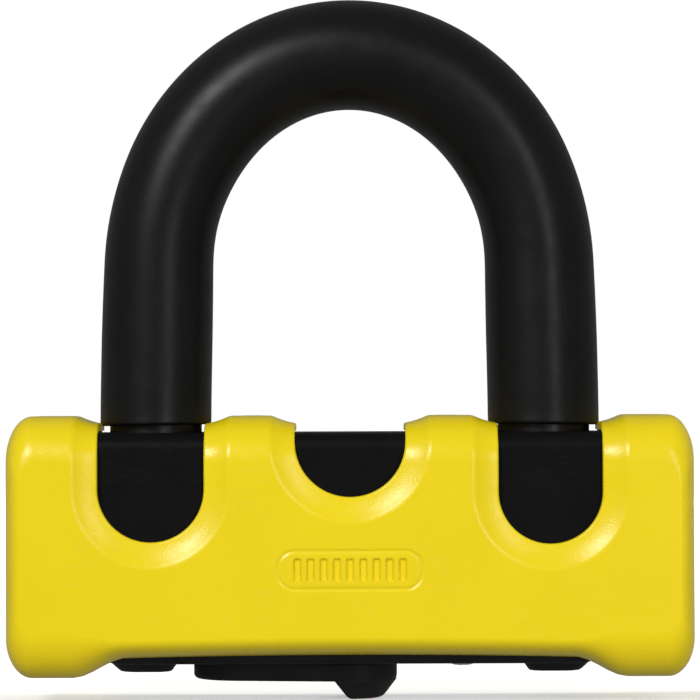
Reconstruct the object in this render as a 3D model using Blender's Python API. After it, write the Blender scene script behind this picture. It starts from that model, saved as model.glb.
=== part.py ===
"""Compact U-lock with a coated steel shackle, a plastic-clad lock body and a disc cylinder.

Frame: metres, +Z up the shackle, +X across its two legs, and the front face looks along -Y.
The origin is under the middle of the lock, level with the tip of the keyhole cover's knob.
The lock is drawn closed and unlocked: the shackle is home and both bolts are drawn back.
"""

import math

import bmesh
import bpy
from mathutils import Vector

MM = 0.001
GAP = 0.3 * MM  # air between pieces that rest against each other
SMALL_GAP = 0.2 * MM
PAST = 2 * MM  # how far a cutter runs past the face that it opens

# Lock body, outside
BODY_WIDTH = 105 * MM
BODY_DEPTH = 36 * MM
COVER_TOP = 43.4 * MM
COVER_BOTTOM = 7.1 * MM  # lower edge between the two end feet
FOOT_BOTTOM = 3.9 * MM
COVER_WALL = 2.2 * MM
EDGE_ROUND = 4.9 * MM  # rounding from the faces to the top, in both directions
SIDE_ROUND = 5.0 * MM
BOTTOM_ROUND = 6.5 * MM
TOP_CORNER = (4.0 * MM, 6.9 * MM)  # half an ellipse's width and height
LOW_CORNER = (4.0 * MM, 6.0 * MM)
CORNER_SHRINK = 0.45  # share that the corners lose on the way to the flat face
FOOT_RISE_FROM = 33.5 * MM  # the lower edge drops from here out to the foot
FOOT_RISE_TO = 41.5 * MM
FOOT_RISE_STEPS = 7

# Scallops in the covers: (centre across, centre height, radius)
LEG_SPACING = 60 * MM
LEG_SCALLOP = (LEG_SPACING / 2, 32.6 * MM, 8.0 * MM)
MIDDLE_SCALLOP = (0.0, 39.8 * MM, 8.3 * MM)
REAR_EXTRA = 1.3 * MM  # the rear cover's scallops are this much larger in radius
RIM_WIDTH = 3.7 * MM  # the shallow sloping rim round each scallop
RIM_DEPTH = 1.1 * MM
RIM_LIP = 0.4 * MM

# Plain recessed grip panel on the front face
PANEL_SIZE = (21.0 * MM, 5.4 * MM)
PANEL_HEIGHT = 20.6 * MM
PANEL_DEPTH = 0.5 * MM
PANEL_CORNER = 1.0 * MM
PANEL_RIBS = 9
PANEL_RIB_WIDTH = 0.9 * MM
PANEL_MARGIN = 1.1 * MM  # above and below the ribs

# Lugs inside the covers that snap into windows in the jacket
LUG_ACROSS = 44 * MM
LUG_WIDTH = 4.0 * MM
LUG_HEIGHT = 3.0 * MM
LUG_CENTRE_HEIGHT = 19.5 * MM
LUG_REACH = 1.0 * MM  # into the jacket's wall
LUG_ROOT = 0.4 * MM  # into the cover's wall
LUG_CLEARANCE = 0.4 * MM

# Jacket and case
JACKET_WALL = 1.6 * MM
JACKET_HALF_WIDTH = BODY_WIDTH / 2 - COVER_WALL - GAP
JACKET_HALF_DEPTH = BODY_DEPTH / 2 - COVER_WALL - GAP
JACKET_TOP = COVER_TOP - COVER_WALL - GAP
JACKET_BOTTOM = 9.6 * MM
JACKET_ROUND = EDGE_ROUND - COVER_WALL - GAP
JACKET_CORNER = (2.4 * MM, 4.4 * MM)
JACKET_HOLE_GAP = 0.3 * MM  # wider than the case's bores
CASE_HALF_WIDTH = JACKET_HALF_WIDTH - JACKET_WALL - GAP
CASE_HALF_DEPTH = JACKET_HALF_DEPTH - JACKET_WALL - GAP
CASE_TOP = JACKET_TOP - JACKET_WALL - GAP
CASE_BOTTOM = JACKET_BOTTOM
CASE_CHAMFER = 0.9 * MM

# Shackle
BAR_RADIUS = 7.0 * MM
SLEEVE_RADIUS = 8.5 * MM
ARCH_TOP = 99.5 * MM  # centre line
ARCH_RISE = 33.4 * MM  # the arch is half an ellipse this tall and this wide
ARCH_WIDTH = 59.0 * MM
LEAN_FROM = 46.0 * MM  # above this the legs lean in a little to meet the arch
SLEEVE_END = 42.1 * MM
LEG_TIP = 13.2 * MM
TIP_CHAMFER = 1.6 * MM
SLEEVE_EDGE = 0.5 * MM
SLEEVE_FIT = 0.25 * MM
LEG_BORE_RADIUS = 7.3 * MM
LEG_BORE_END = LEG_TIP - 0.6 * MM
SEAL_RADIUS = 9.3 * MM
SEAL_HEIGHT = 1.8 * MM

# Bolts, driven by two spiral slots in the cam plate
BOLT_HEIGHT = 31.0 * MM
BOLT_RADIUS = 4.5 * MM
BOLT_INNER_END = 1.3 * MM
BOLT_OUTER_END = 22.5 * MM
BOLT_TRAVEL = 4.0 * MM
BOLT_NOSE = 0.8 * MM
ROTOR_TRAVEL = math.radians(90)
FOLLOWER_START = 2.8 * MM  # distance of the follower pin from the rotor's axis, drawn back
FOLLOWER_RADIUS = 1.0 * MM
FOLLOWER_BOTTOM = 24.2 * MM
FOLLOWER_LENGTH = 5.0 * MM
PIN_FIT = 0.15 * MM  # round small pins, dogs and screws
CAM_SLOT_RADIUS = 1.2 * MM
CAM_SLOT_STEPS = 12
CAM_RADIUS = 8.8 * MM
CAM_BOTTOM = 23.7 * MM
CAM_TOP = 26.2 * MM
NOTCH_DEPTH = 4.0 * MM
NOTCH_HALF_HEIGHT = BOLT_RADIUS + 0.5 * MM
PLUG_INNER_END = 38.6 * MM

# Cylinder
HOUSING_RADIUS = 9.0 * MM
HOUSING_BORE = 7.4 * MM
HOUSING_BOTTOM = 9.9 * MM
HOUSING_TOP = 23.5 * MM
CYLINDER_BORE_TOP = 27.0 * MM
ROTOR_RADIUS = 7.2 * MM
ROTOR_BOTTOM = 10.7 * MM
ROTOR_FACE = 1.5 * MM
ROTOR_TOP = 22.2 * MM
DISC_RADIUS = 6.0 * MM
DISC_FLOOR = 14.0 * MM
DISC_PITCH = 1.15 * MM
DISC_THICKNESS = 0.9 * MM
DISC_CODE = (0, 36, 18, 54, 72, 36)  # how far each disc's key slot is turned, in degrees
GUARD_THICKNESS = 1.4 * MM
SIDEBAR_RADIUS = 0.85 * MM
SIDEBAR_REACH = 6.45 * MM
SIDEBAR_DROP = 1.15 * MM
SIDEBAR_ANGLE = math.radians(135)
KEYWAY = (7.6 * MM, 2.2 * MM)
KEYWAY_CORNER = 0.5 * MM
KEYWAY_CORE = 1.7 * MM
DOG_RADIUS = 1.2 * MM
DOG_REACH = 4.7 * MM
DOG_ANGLES = (math.radians(45), math.radians(225))
END_PLATE_BOTTOM = 21.0 * MM
END_PLATE_LUGS = (14.0 * MM, 2.2 * MM)  # over both lugs, and their width
DOG_TOP = 25.9 * MM
SIDEBAR_ENDS = (12.6 * MM, 21.4 * MM)
RING_ENDS = (22.5 * MM, 23.1 * MM)
RING_REACH = (HOUSING_BORE - 0.8 * MM, HOUSING_BORE + 0.35 * MM)
RING_OPENING = 3.0 * MM
RETAINING_PIN = (9.4 * MM, 16.5 * MM)  # across and up from the middle of the lock
RETAINING_PIN_RADIUS = 1.25 * MM
RETAINING_PIN_FRONT = 5.0 * MM

# Base plate, keyhole cover and their screws
BASE_BOTTOM = 6.05 * MM
BASE_TOP = CASE_BOTTOM - GAP
BASE_HALF_WIDTH = 36.5 * MM
BASE_HALF_DEPTH = 11.5 * MM
BASE_CORNER = 4.0 * MM
BASE_EDGE = 0.8 * MM
PAD_BOTTOM = 4.6 * MM
PAD_INNER_END = 26.3 * MM
PAD_HALF_DEPTH = 8.5 * MM
PAD_SLOPE = 1.4 * MM
PAD_ROOT = 0.4 * MM
KEYHOLE_RADIUS = 6.2 * MM
SCREW_REACH = 17.3 * MM
SCREW_HOLE_TOP = 17.0 * MM
SCREW_TOP = 16.4 * MM
SCREW_RADIUS = 1.5 * MM
SCREW_HEAD_RADIUS = 2.8 * MM
SCREW_HEAD_BOTTOM = 5.7 * MM
SCREW_HEAD_TOP = 7.6 * MM
HEX_RADIUS = 1.25 * MM
HEX_DEPTH = 0.9 * MM
SHUTTER_TOP = BASE_BOTTOM - 0.2 * MM
SHUTTER_BOTTOM = 3.05 * MM
SHUTTER_EDGE = 0.6 * MM
SHUTTER_PIVOT_RADIUS = 6.7 * MM
SHUTTER_END_RADIUS = 7.2 * MM
KNOB_RADIUS = 7.0 * MM
KNOB_TIP_RADIUS = 4.85 * MM
KNOB_HEEL = -2.3 * MM  # where the knob's flat side starts, from the keyhole's centre
KNOB_EDGE = 0.5 * MM
PIVOT_RADIUS = 2.0 * MM
PIVOT_HEAD_RADIUS = 3.0 * MM
PIVOT_HEAD = (3.3 * MM, 4.4 * MM)  # bottom and top
PIVOT_FIT = 0.1 * MM
WASHER_RADIUS = 3.5 * MM
WASHER_BOTTOM = 6.1 * MM
WASHER_THICKNESS = 0.5 * MM

ROUND_STEPS = 32
BOLT_STEPS = 24
SMALL_STEPS = 16
NOTCH_STEPS = 12
DISC_STEPS = 28
SHUTTER_STEPS = 14
ARCH_STEPS = 24
BEND_STEPS = 5

COLOURS = {  # name: (red, green, blue, roughness, metallic)
    "yellow_plastic": (0.80, 0.62, 0.02, 0.40, 0.0),
    "black_plastic": (0.012, 0.012, 0.013, 0.50, 0.0),
    "sleeve_rubber": (0.015, 0.015, 0.015, 0.45, 0.0),
    "seal_rubber": (0.010, 0.010, 0.010, 0.80, 0.0),
    "black_steel": (0.020, 0.020, 0.022, 0.35, 0.6),
    "hardened_steel": (0.34, 0.34, 0.36, 0.35, 1.0),
    "bright_steel": (0.60, 0.60, 0.62, 0.25, 1.0),
    "brass": (0.70, 0.50, 0.20, 0.30, 1.0),
}


def clear_scene():
    for obj in list(bpy.data.objects):
        bpy.data.objects.remove(obj)


def material(name):
    """The named material, made on first use."""
    found = bpy.data.materials.get(name)
    if found:
        return found
    red, green, blue, roughness, metallic = COLOURS[name]
    made = bpy.data.materials.new(name)
    made.use_nodes = True
    shader = made.node_tree.nodes["Principled BSDF"]
    shader.inputs["Base Color"].default_value = (red, green, blue, 1)
    shader.inputs["Roughness"].default_value = roughness
    shader.inputs["Metallic"].default_value = metallic
    return made


def moving_frame(name, at):
    """An empty on a joint's axis, for the pieces that move with it."""
    empty = bpy.data.objects.new(name, None)
    empty.location = at
    bpy.context.scene.collection.objects.link(empty)
    return empty


def finish_mesh(name, bm, look=None, at=(0, 0, 0), parent=None):
    """Turns bm into an object at a place, with its faces pointing out."""
    bmesh.ops.triangulate(bm, faces=[f for f in bm.faces if len(f.verts) == 4])
    bmesh.ops.recalc_face_normals(bm, faces=bm.faces)
    mesh = bpy.data.meshes.new(name)
    bm.to_mesh(mesh)
    bm.free()
    obj = bpy.data.objects.new(name, mesh)
    bpy.context.scene.collection.objects.link(obj)
    if look:
        mesh.materials.append(material(look))
    obj.location = at
    obj.parent = parent
    return obj


def combine(obj, operation, others):
    """Boolean of obj with each of the others, which are then removed."""
    for other in others:
        change = obj.modifiers.new("change", "BOOLEAN")
        change.operation = operation
        change.object = other
    bpy.context.view_layer.update()
    graph = bpy.context.evaluated_depsgraph_get()
    changed = bpy.data.meshes.new_from_object(obj.evaluated_get(graph))
    obj.modifiers.clear()
    obj.data = changed
    for other in others:
        bpy.data.objects.remove(other)
    return obj


def cut(obj, *cutters):
    return combine(obj, "DIFFERENCE", cutters)


def join(obj, *others):
    return combine(obj, "UNION", others)


def shade_round(obj, degrees=35):
    obj.data.shade_smooth()
    obj.data.set_sharp_from_angle(angle=math.radians(degrees))
    return obj


# --- Shapes ---------------------------------------------------------------


def loft(name, rings, **placed):
    """A closed solid through rings of as many points each, with both ends capped."""
    bm = bmesh.new()
    loops = [[bm.verts.new(point) for point in ring] for ring in rings]
    for low, high in zip(loops, loops[1:]):
        for i in range(len(low)):
            after = (i + 1) % len(low)
            bm.faces.new((low[i], low[after], high[after], high[i]))
    bm.faces.new(loops[0])
    bm.faces.new(loops[-1])
    return finish_mesh(name, bm, **placed)


def circle(radius, steps=ROUND_STEPS, centre=(0, 0)):
    """Points round a circle in a plane, anticlockwise."""
    turns = (2 * math.pi * i / steps for i in range(steps))
    return [(centre[0] + radius * math.cos(t), centre[1] + radius * math.sin(t)) for t in turns]


def around(reach, angle):
    return (reach * math.cos(angle), reach * math.sin(angle))


def prism(name, outline, low, high, axis="Z", **placed):
    """An outline extruded along an axis. Along Y the outline is (x, z), along X it is (y, z)."""
    put = {
        "X": lambda a, b, level: (level, a, b),
        "Y": lambda a, b, level: (a, level, b),
        "Z": lambda a, b, level: (a, b, level),
    }[axis]
    return loft(name, [[put(a, b, level) for a, b in outline] for level in (low, high)], **placed)


def block(name, low, high, **placed):
    outline = [(low[0], low[1]), (high[0], low[1]), (high[0], high[1]), (low[0], high[1])]
    return prism(name, outline, low[2], high[2], **placed)


def rod(name, radius, low, high, axis="Z", centre=(0, 0), steps=ROUND_STEPS, **placed):
    return prism(name, circle(radius, steps, centre), low, high, axis, **placed)


def turned(name, profile, steps=ROUND_STEPS, **placed):
    """A solid turned about Z from (radius, height) points that start and end on the axis."""
    bm = bmesh.new()
    foot = bm.verts.new((0, 0, profile[0][1]))
    head = bm.verts.new((0, 0, profile[-1][1]))
    loops = [
        [bm.verts.new((x, y, height)) for x, y in circle(radius, steps)]
        for radius, height in profile[1:-1]
    ]
    for i in range(steps):
        after = (i + 1) % steps
        bm.faces.new((foot, loops[0][after], loops[0][i]))
        bm.faces.new((head, loops[-1][i], loops[-1][after]))
        for low, high in zip(loops, loops[1:]):
            bm.faces.new((low[i], low[after], high[after], high[i]))
    return finish_mesh(name, bm, **placed)


def rounded_rectangle(half_width, half_height, corner, steps=4):
    """Outline of a rectangle with round corners, anticlockwise from its right side."""
    centres = ((1, 1, 0), (-1, 1, 90), (-1, -1, 180), (1, -1, 270))
    outline = []
    for across, up, start in centres:
        for i in range(steps + 1):
            turn = math.radians(start + 90 * i / steps)
            x = across * (half_width - corner) + corner * math.cos(turn)
            y = up * (half_height - corner) + corner * math.sin(turn)
            outline.append((x, y))
    return outline


def quarter(steps, start=0.0, end=90.0):
    """Angles through a bend, both ends included."""
    return [math.radians(start + (end - start) * i / steps) for i in range(steps + 1)]


# --- Covers and jacket ----------------------------------------------------


def cover_outline(inset):
    """(x, z) outline of the covers. inset runs from 0 at the widest to 1 at the flat face."""
    side = BODY_WIDTH / 2 - SIDE_ROUND * inset
    top = COVER_TOP - EDGE_ROUND * inset
    rise = BOTTOM_ROUND * inset
    shrink = 1 - CORNER_SHRINK * inset
    top_corner = (TOP_CORNER[0] * shrink, TOP_CORNER[1] * shrink)
    low_corner = (LOW_CORNER[0] * shrink, LOW_CORNER[1] * shrink)
    half = [(0.0, COVER_BOTTOM + rise)]
    for i in range(FOOT_RISE_STEPS + 1):
        share = i / FOOT_RISE_STEPS
        x = FOOT_RISE_FROM + (FOOT_RISE_TO - FOOT_RISE_FROM) * share
        ease = share * share * (3 - 2 * share)
        half.append((x, COVER_BOTTOM + (FOOT_BOTTOM - COVER_BOTTOM) * ease + rise))
    for turn in quarter(BEND_STEPS, 270, 360):
        x = side - low_corner[0] * (1 - math.cos(turn))
        half.append((x, FOOT_BOTTOM + rise + low_corner[1] * (1 + math.sin(turn))))
    for turn in quarter(BEND_STEPS):
        x = side - top_corner[0] * (1 - math.cos(turn))
        half.append((x, top - top_corner[1] * (1 - math.sin(turn))))
    half.append((0.0, top))
    return half + [(-x, z) for x, z in half[-2:0:-1]]


def jacket_outline(grow, inset):
    """(x, z) outline of the jacket, grown all round, and pulled in by inset at a rounding."""
    side = JACKET_HALF_WIDTH + grow - inset
    top = JACKET_TOP + grow - inset
    half = [(0.0, JACKET_BOTTOM - grow), (side, JACKET_BOTTOM - grow)]
    for turn in quarter(BEND_STEPS):
        x = side - (JACKET_CORNER[0] + grow) * (1 - math.cos(turn))
        half.append((x, top - (JACKET_CORNER[1] + grow) * (1 - math.sin(turn))))
    half.append((0.0, top))
    return half + [(-x, z) for x, z in half[-2:0:-1]]


def pillow(name, half_depth, depth_round, outline_at, **placed):
    """A body that is widest in the middle and rounds over to a flat face at each end of Y."""
    turns = quarter(BEND_STEPS)
    levels = [(-half_depth + depth_round * (1 - math.sin(t)), 1 - math.cos(t)) for t in turns]
    front = list(reversed(levels))
    back = [(-y, inset) for y, inset in levels]
    rings = [[(x, y, z) for x, z in outline_at(inset)] for y, inset in front + back]
    return loft(name, rings, **placed)


def jacket_body(name, grow, **placed):
    rounding = JACKET_ROUND + grow
    return pillow(
        name,
        JACKET_HALF_DEPTH + grow,
        rounding,
        lambda inset: jacket_outline(grow, inset * rounding),
        **placed,
    )


def scallop_outline(scallop, extra=0.0, steps=SMALL_STEPS):
    """(x, z) points down the left of a scallop, round its bottom and up its right."""
    across, height, radius = scallop
    radius += extra
    turns = quarter(steps, 180, 360)
    return [(across + radius * math.cos(t), height + radius * math.sin(t)) for t in turns]


def face_depth(height, below):
    """How far from the middle the covers' surface is at a height, below that surface."""
    start = COVER_TOP - EDGE_ROUND
    bend = EDGE_ROUND - below
    reach = min(max(height - start, 0.0), bend)
    return BODY_DEPTH / 2 - EDGE_ROUND + math.sqrt(bend * bend - reach * reach)


def scallop_loop(scallop, below, extra):
    """One level of a scallop's cutter: a closed line at a depth below the covers' surface.

    It runs round the scallop's bottom at the front, up its right side and over the top, round
    the bottom at the back, and home up its left side.
    """
    across, height, radius = scallop
    start, bend = COVER_TOP - EDGE_ROUND, EDGE_ROUND - below
    above_start = max(height - start, 0.0)
    first = math.degrees(math.asin(above_start / bend))
    rise = []
    for turn in quarter(BEND_STEPS, first, 90):
        depth = BODY_DEPTH / 2 - EDGE_ROUND + bend * math.cos(turn)
        rise.append((depth, start + bend * math.sin(turn)))
    if above_start:
        del rise[0]  # the bottom's own end is already there
    over = [(-depth, z) for depth, z in rise] + [(depth, z) for depth, z in reversed(rise)]
    front = [(x, -face_depth(z, below), z) for x, z in scallop_outline(scallop, extra)]
    back = [(x, -y, z) for x, y, z in reversed(front)]
    right, left = across + radius + extra, across - radius - extra
    up_right = [(right, y, z) for y, z in over]
    up_left = [(left, y, z) for y, z in reversed(over)]
    return front + up_right + back + up_left


def scallop_cutter(scallop):
    """Cutter for a scallop, which follows the surface up the front, over and down the back.

    Its levels run from outside the surface down the sloping rim and straight through the wall.
    """
    slope = (RIM_WIDTH - RIM_LIP) / RIM_DEPTH
    above = PAST / 4
    levels = (
        (-above, RIM_WIDTH + slope * above),
        (RIM_DEPTH, RIM_LIP),
        (RIM_DEPTH + RIM_LIP, 0.0),
        (COVER_WALL + PAST / 2, 0.0),
    )
    bm = bmesh.new()
    lines = [scallop_loop(scallop, below, extra) for below, extra in levels]
    loops = [[bm.verts.new(point) for point in line] for line in lines]
    count = len(loops[0])
    for outer, inner in zip(loops, loops[1:]):
        for i in range(count):
            after = (i + 1) % count
            bm.faces.new((outer[i], outer[after], inner[after], inner[i]))
    bottom = SMALL_STEPS + 1
    half = count // 2
    caps = []
    for loop in (loops[0], loops[-1]):
        caps.append(bm.faces.new(loop[:bottom]))
        caps.append(bm.faces.new(loop[half : half + bottom]))
        rights = loop[bottom - 1 : half + 1]
        lefts = [loop[0]] + list(reversed(loop[half + bottom - 1 :]))
        for i in range(len(rights) - 1):
            bm.faces.new((rights[i], rights[i + 1], lefts[i + 1], lefts[i]))
    bmesh.ops.triangulate(bm, faces=caps)
    return finish_mesh("scallop_cutter", bm)


def grip_panel():
    """Cutter for the recessed panel on the front, leaving a row of upright ribs in it."""
    half_width, half_height = PANEL_SIZE[0] / 2, PANEL_SIZE[1] / 2
    outline = rounded_rectangle(half_width, half_height, PANEL_CORNER)
    outline = [(x, z + PANEL_HEIGHT) for x, z in outline]
    face = -BODY_DEPTH / 2
    panel = prism("grip_panel", outline, face - PAST, face + PANEL_DEPTH, "Y")
    rib_half_height = half_height - PANEL_MARGIN
    pitch = 2 * half_width / (PANEL_RIBS + 1)
    ribs = []
    for i in range(PANEL_RIBS):
        middle = -half_width + pitch * (i + 1)
        low = (middle - PANEL_RIB_WIDTH / 2, face - 2 * PAST, PANEL_HEIGHT - rib_half_height)
        high = (middle + PANEL_RIB_WIDTH / 2, face + 2 * PAST, PANEL_HEIGHT + rib_half_height)
        ribs.append(block("grip_rib", low, high))
    return cut(panel, *ribs)


def snap_lug(across, face, grow=0.0):
    """The block that holds a cover to the jacket. face is -1 at the front and 1 at the back."""
    tip = face * (JACKET_HALF_DEPTH - LUG_REACH - grow)
    root = face * (JACKET_HALF_DEPTH + GAP + LUG_ROOT + grow)
    half_width, half_height = LUG_WIDTH / 2 + grow, LUG_HEIGHT / 2 + grow
    low = (across - half_width, min(tip, root), LUG_CENTRE_HEIGHT - half_height)
    high = (across + half_width, max(tip, root), LUG_CENTRE_HEIGHT + half_height)
    return block("snap_lug", low, high)


def half_cover(name, face):
    """One of the two yellow half shells. face is -1 for the front one and 1 for the back one."""
    shell = pillow(name, BODY_DEPTH / 2, EDGE_ROUND, cover_outline, look="yellow_plastic")
    cut(shell, jacket_body("cavity", GAP))
    extra = REAR_EXTRA if face > 0 else 0.0
    for side, (across, height, radius) in ((-1, LEG_SCALLOP), (1, MIDDLE_SCALLOP), (1, LEG_SCALLOP)):
        cut(shell, scallop_cutter((side * across, height, radius + extra)))
    opening = rounded_rectangle(BASE_HALF_WIDTH + GAP, BASE_HALF_DEPTH + GAP, BASE_CORNER)
    cut(shell, prism("base_opening", opening, 0.0, JACKET_BOTTOM + PAST))
    seam, far = face * GAP / 2, -face * BODY_DEPTH
    low = (-BODY_WIDTH, min(seam, far), -BODY_WIDTH)
    high = (BODY_WIDTH, max(seam, far), BODY_WIDTH)
    cut(shell, block("other_half", low, high))
    if face < 0:
        cut(shell, grip_panel())
    join(shell, snap_lug(-LUG_ACROSS, face), snap_lug(LUG_ACROSS, face))
    return shade_round(shell)


def jacket():
    """Black plastic cap over the case, open below."""
    cap = jacket_body("jacket", 0.0, look="black_plastic")
    half_width, half_depth = CASE_HALF_WIDTH + GAP, CASE_HALF_DEPTH + GAP
    low = (-half_width, -half_depth, JACKET_BOTTOM - PAST)
    high = (half_width, half_depth, CASE_TOP + GAP)
    cut(cap, block("case_space", low, high))
    for side in (-1, 1):
        centre = (side * LEG_SPACING / 2, 0)
        hole = LEG_BORE_RADIUS + JACKET_HOLE_GAP
        cut(cap, rod("leg_hole", hole, CASE_TOP, COVER_TOP, centre=centre))
        for face in (-1, 1):
            cut(cap, snap_lug(side * LUG_ACROSS, face, grow=LUG_CLEARANCE))
    return shade_round(cap)


# --- Case and shackle -----------------------------------------------------


def case():
    """Hardened steel block, bored for the legs, the bolts and the cylinder."""
    low = (-CASE_HALF_WIDTH, -CASE_HALF_DEPTH, CASE_BOTTOM)
    high = (CASE_HALF_WIDTH, CASE_HALF_DEPTH, CASE_TOP)
    body = block("lock_case", low, high, look="black_steel")
    bevel = body.modifiers.new("chamfer", "BEVEL")
    bevel.width = CASE_CHAMFER
    bevel.segments = 1
    below, above = CASE_BOTTOM - PAST, CASE_TOP + PAST
    seat_floor = CASE_TOP - SEAL_HEIGHT - GAP
    screw_hole = SCREW_RADIUS + PIN_FIT
    for side in (-1, 1):
        leg, screw = (side * LEG_SPACING / 2, 0), (side * SCREW_REACH, 0)
        cut(body, rod("leg_bore", LEG_BORE_RADIUS, LEG_BORE_END, above, centre=leg))
        cut(body, rod("seal_seat", SEAL_RADIUS + GAP / 2, seat_floor, above, centre=leg))
        cut(body, rod("screw_hole", screw_hole, below, SCREW_HOLE_TOP, centre=screw, steps=SMALL_STEPS))
    reach = CASE_HALF_WIDTH + PAST
    channel = BOLT_RADIUS + SMALL_GAP
    cut(body, rod("bolt_channel", channel, -reach, reach, "X", (0, BOLT_HEIGHT), BOLT_STEPS))
    cut(body, rod("cylinder_bore", HOUSING_RADIUS + SMALL_GAP, below, CYLINDER_BORE_TOP))
    cut(body, retaining_pin_hole(CASE_HALF_DEPTH + PAST))
    return shade_round(body)


def retaining_pin_hole(rear):
    """Cutter for the cross pin's hole, open at the rear."""
    radius = RETAINING_PIN_RADIUS + PIN_FIT
    front = -RETAINING_PIN_FRONT - 2 * PIN_FIT
    return rod("pin_hole", radius, front, rear, "Y", RETAINING_PIN, SMALL_STEPS)


def end_plug(name, side):
    """Steel plug pressed into the outer end of the bolt channel."""
    ends = sorted((side * PLUG_INNER_END, side * (CASE_HALF_WIDTH - GAP)))
    return rod(name, BOLT_RADIUS, *ends, "X", (0, BOLT_HEIGHT), BOLT_STEPS, look="hardened_steel")


def leg_seal(name, side):
    """Rubber ring that wipes a leg where it enters the case."""
    low = CASE_TOP - SEAL_HEIGHT
    at = (side * LEG_SPACING / 2, 0, low)
    ring = rod(name, SEAL_RADIUS, 0, SEAL_HEIGHT, look="seal_rubber", at=at)
    hole = rod("hole", BAR_RADIUS + SMALL_GAP, -PAST, SEAL_HEIGHT + PAST, at=at)
    return cut(ring, hole)


def shackle_path(start):
    """(x, z, normal x, normal z) down the shackle's centre line, from a height on each leg."""
    spring = ARCH_TOP - ARCH_RISE
    leg, half = LEG_SPACING / 2, ARCH_WIDTH / 2
    path = [(leg, start, 1.0, 0.0), (leg, LEAN_FROM, 1.0, 0.0)]
    for turn in quarter(ARCH_STEPS, 0, 180):
        x, z = half * math.cos(turn), spring + ARCH_RISE * math.sin(turn)
        normal = Vector((math.cos(turn) / half, math.sin(turn) / ARCH_RISE)).normalized()
        path.append((x, z, normal.x, normal.y))
    path += [(-leg, LEAN_FROM, -1.0, 0.0), (-leg, start, -1.0, 0.0)]
    return path


def shackle_ring(station, radius, steps=BOLT_STEPS):
    """A circle square to the shackle's centre line at a station of its path."""
    x, z, across, up = station
    return [(x + u * across, v, z + u * up) for u, v in circle(radius, steps)]


def bent_rod(name, radius, low, chamfer=0.0, **placed):
    """Solid round rod along the shackle, from a height on each leg, with chamfered ends."""
    rings = [shackle_ring(station, radius) for station in shackle_path(low + chamfer)]
    if chamfer:
        leg = LEG_SPACING / 2
        rings.insert(0, shackle_ring((leg, low, 1.0, 0.0), radius - chamfer))
        rings.append(shackle_ring((-leg, low, -1.0, 0.0), radius - chamfer))
    return loft(name, rings, **placed)


def shackle_bar(frame):
    """Round steel bar bent to a U, with a notch for each bolt."""
    bar = bent_rod("shackle_bar", BAR_RADIUS, LEG_TIP, TIP_CHAMFER, look="black_steel", parent=frame)
    notch_floor = LEG_SPACING / 2 - BAR_RADIUS + NOTCH_DEPTH
    for side in (-1, 1):
        near, far = sorted((side * (notch_floor - BAR_RADIUS), side * notch_floor))
        low = (near, -2 * BAR_RADIUS, BOLT_HEIGHT - NOTCH_HALF_HEIGHT)
        high = (far, 2 * BAR_RADIUS, BOLT_HEIGHT + NOTCH_HALF_HEIGHT)
        cut(bar, block("bolt_notch", low, high))
    return shade_round(bar)


def shackle_sleeve(frame):
    """Tough coating over the bar, from just above one hole to just above the other."""
    look = "sleeve_rubber"
    sleeve = bent_rod("shackle_sleeve", SLEEVE_RADIUS, SLEEVE_END, SLEEVE_EDGE, look=look, parent=frame)
    cut(sleeve, bent_rod("bar_space", BAR_RADIUS + SLEEVE_FIT, SLEEVE_END - PAST))
    return shade_round(sleeve)


# --- Bolts and cam --------------------------------------------------------


def bolt(name, side):
    """Round locking bolt, with a hole below for its follower pin. Its origin is on its axis."""
    shape = (
        (BOLT_INNER_END, BOLT_RADIUS),
        (BOLT_OUTER_END - BOLT_NOSE, BOLT_RADIUS),
        (BOLT_OUTER_END, BOLT_RADIUS - BOLT_NOSE),
    )
    rings = [[(side * x, y, z) for y, z in circle(radius, BOLT_STEPS)] for x, radius in shape]
    body = loft(name, rings, look="hardened_steel", at=(0, 0, BOLT_HEIGHT))
    centre = (side * FOLLOWER_START, 0)
    top = FOLLOWER_BOTTOM + FOLLOWER_LENGTH + PIN_FIT
    radius = FOLLOWER_RADIUS + PIN_FIT
    return cut(body, rod("hole", radius, CAM_TOP, top, centre=centre, steps=SMALL_STEPS))


def follower_pin(name, side):
    """Pin pressed into a bolt, riding in one of the cam plate's slots."""
    at = (side * FOLLOWER_START, 0, FOLLOWER_BOTTOM)
    look = "bright_steel"
    return rod(name, FOLLOWER_RADIUS, 0, FOLLOWER_LENGTH, steps=SMALL_STEPS, look=look, at=at)


def spiral_slot(start_angle):
    """Outline of a slot whose distance from the axis grows evenly as it turns back."""
    centre_line = []
    for i in range(CAM_SLOT_STEPS + 1):
        share = i / CAM_SLOT_STEPS
        reach = FOLLOWER_START + BOLT_TRAVEL * share
        centre_line.append(Vector(around(reach, start_angle - ROTOR_TRAVEL * share)))
    sides = ([], [])
    for i, point in enumerate(centre_line):
        along = centre_line[min(i + 1, CAM_SLOT_STEPS)] - centre_line[max(i - 1, 0)]
        across = Vector((-along.y, along.x)).normalized() * CAM_SLOT_RADIUS
        sides[0].append(point + across)
        sides[1].append(point - across)
    ends = []
    for tip, towards in ((centre_line[-1], sides[0][-1]), (centre_line[0], sides[1][0])):
        first = math.atan2(*reversed(towards - tip))
        bend = quarter(BEND_STEPS + 1, 0, 180)[1:-1]
        ends.append([tip + Vector(around(CAM_SLOT_RADIUS, first - turn)) for turn in bend])
    outline = sides[0] + ends[0] + list(reversed(sides[1])) + ends[1]
    return [tuple(point) for point in outline]


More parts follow.
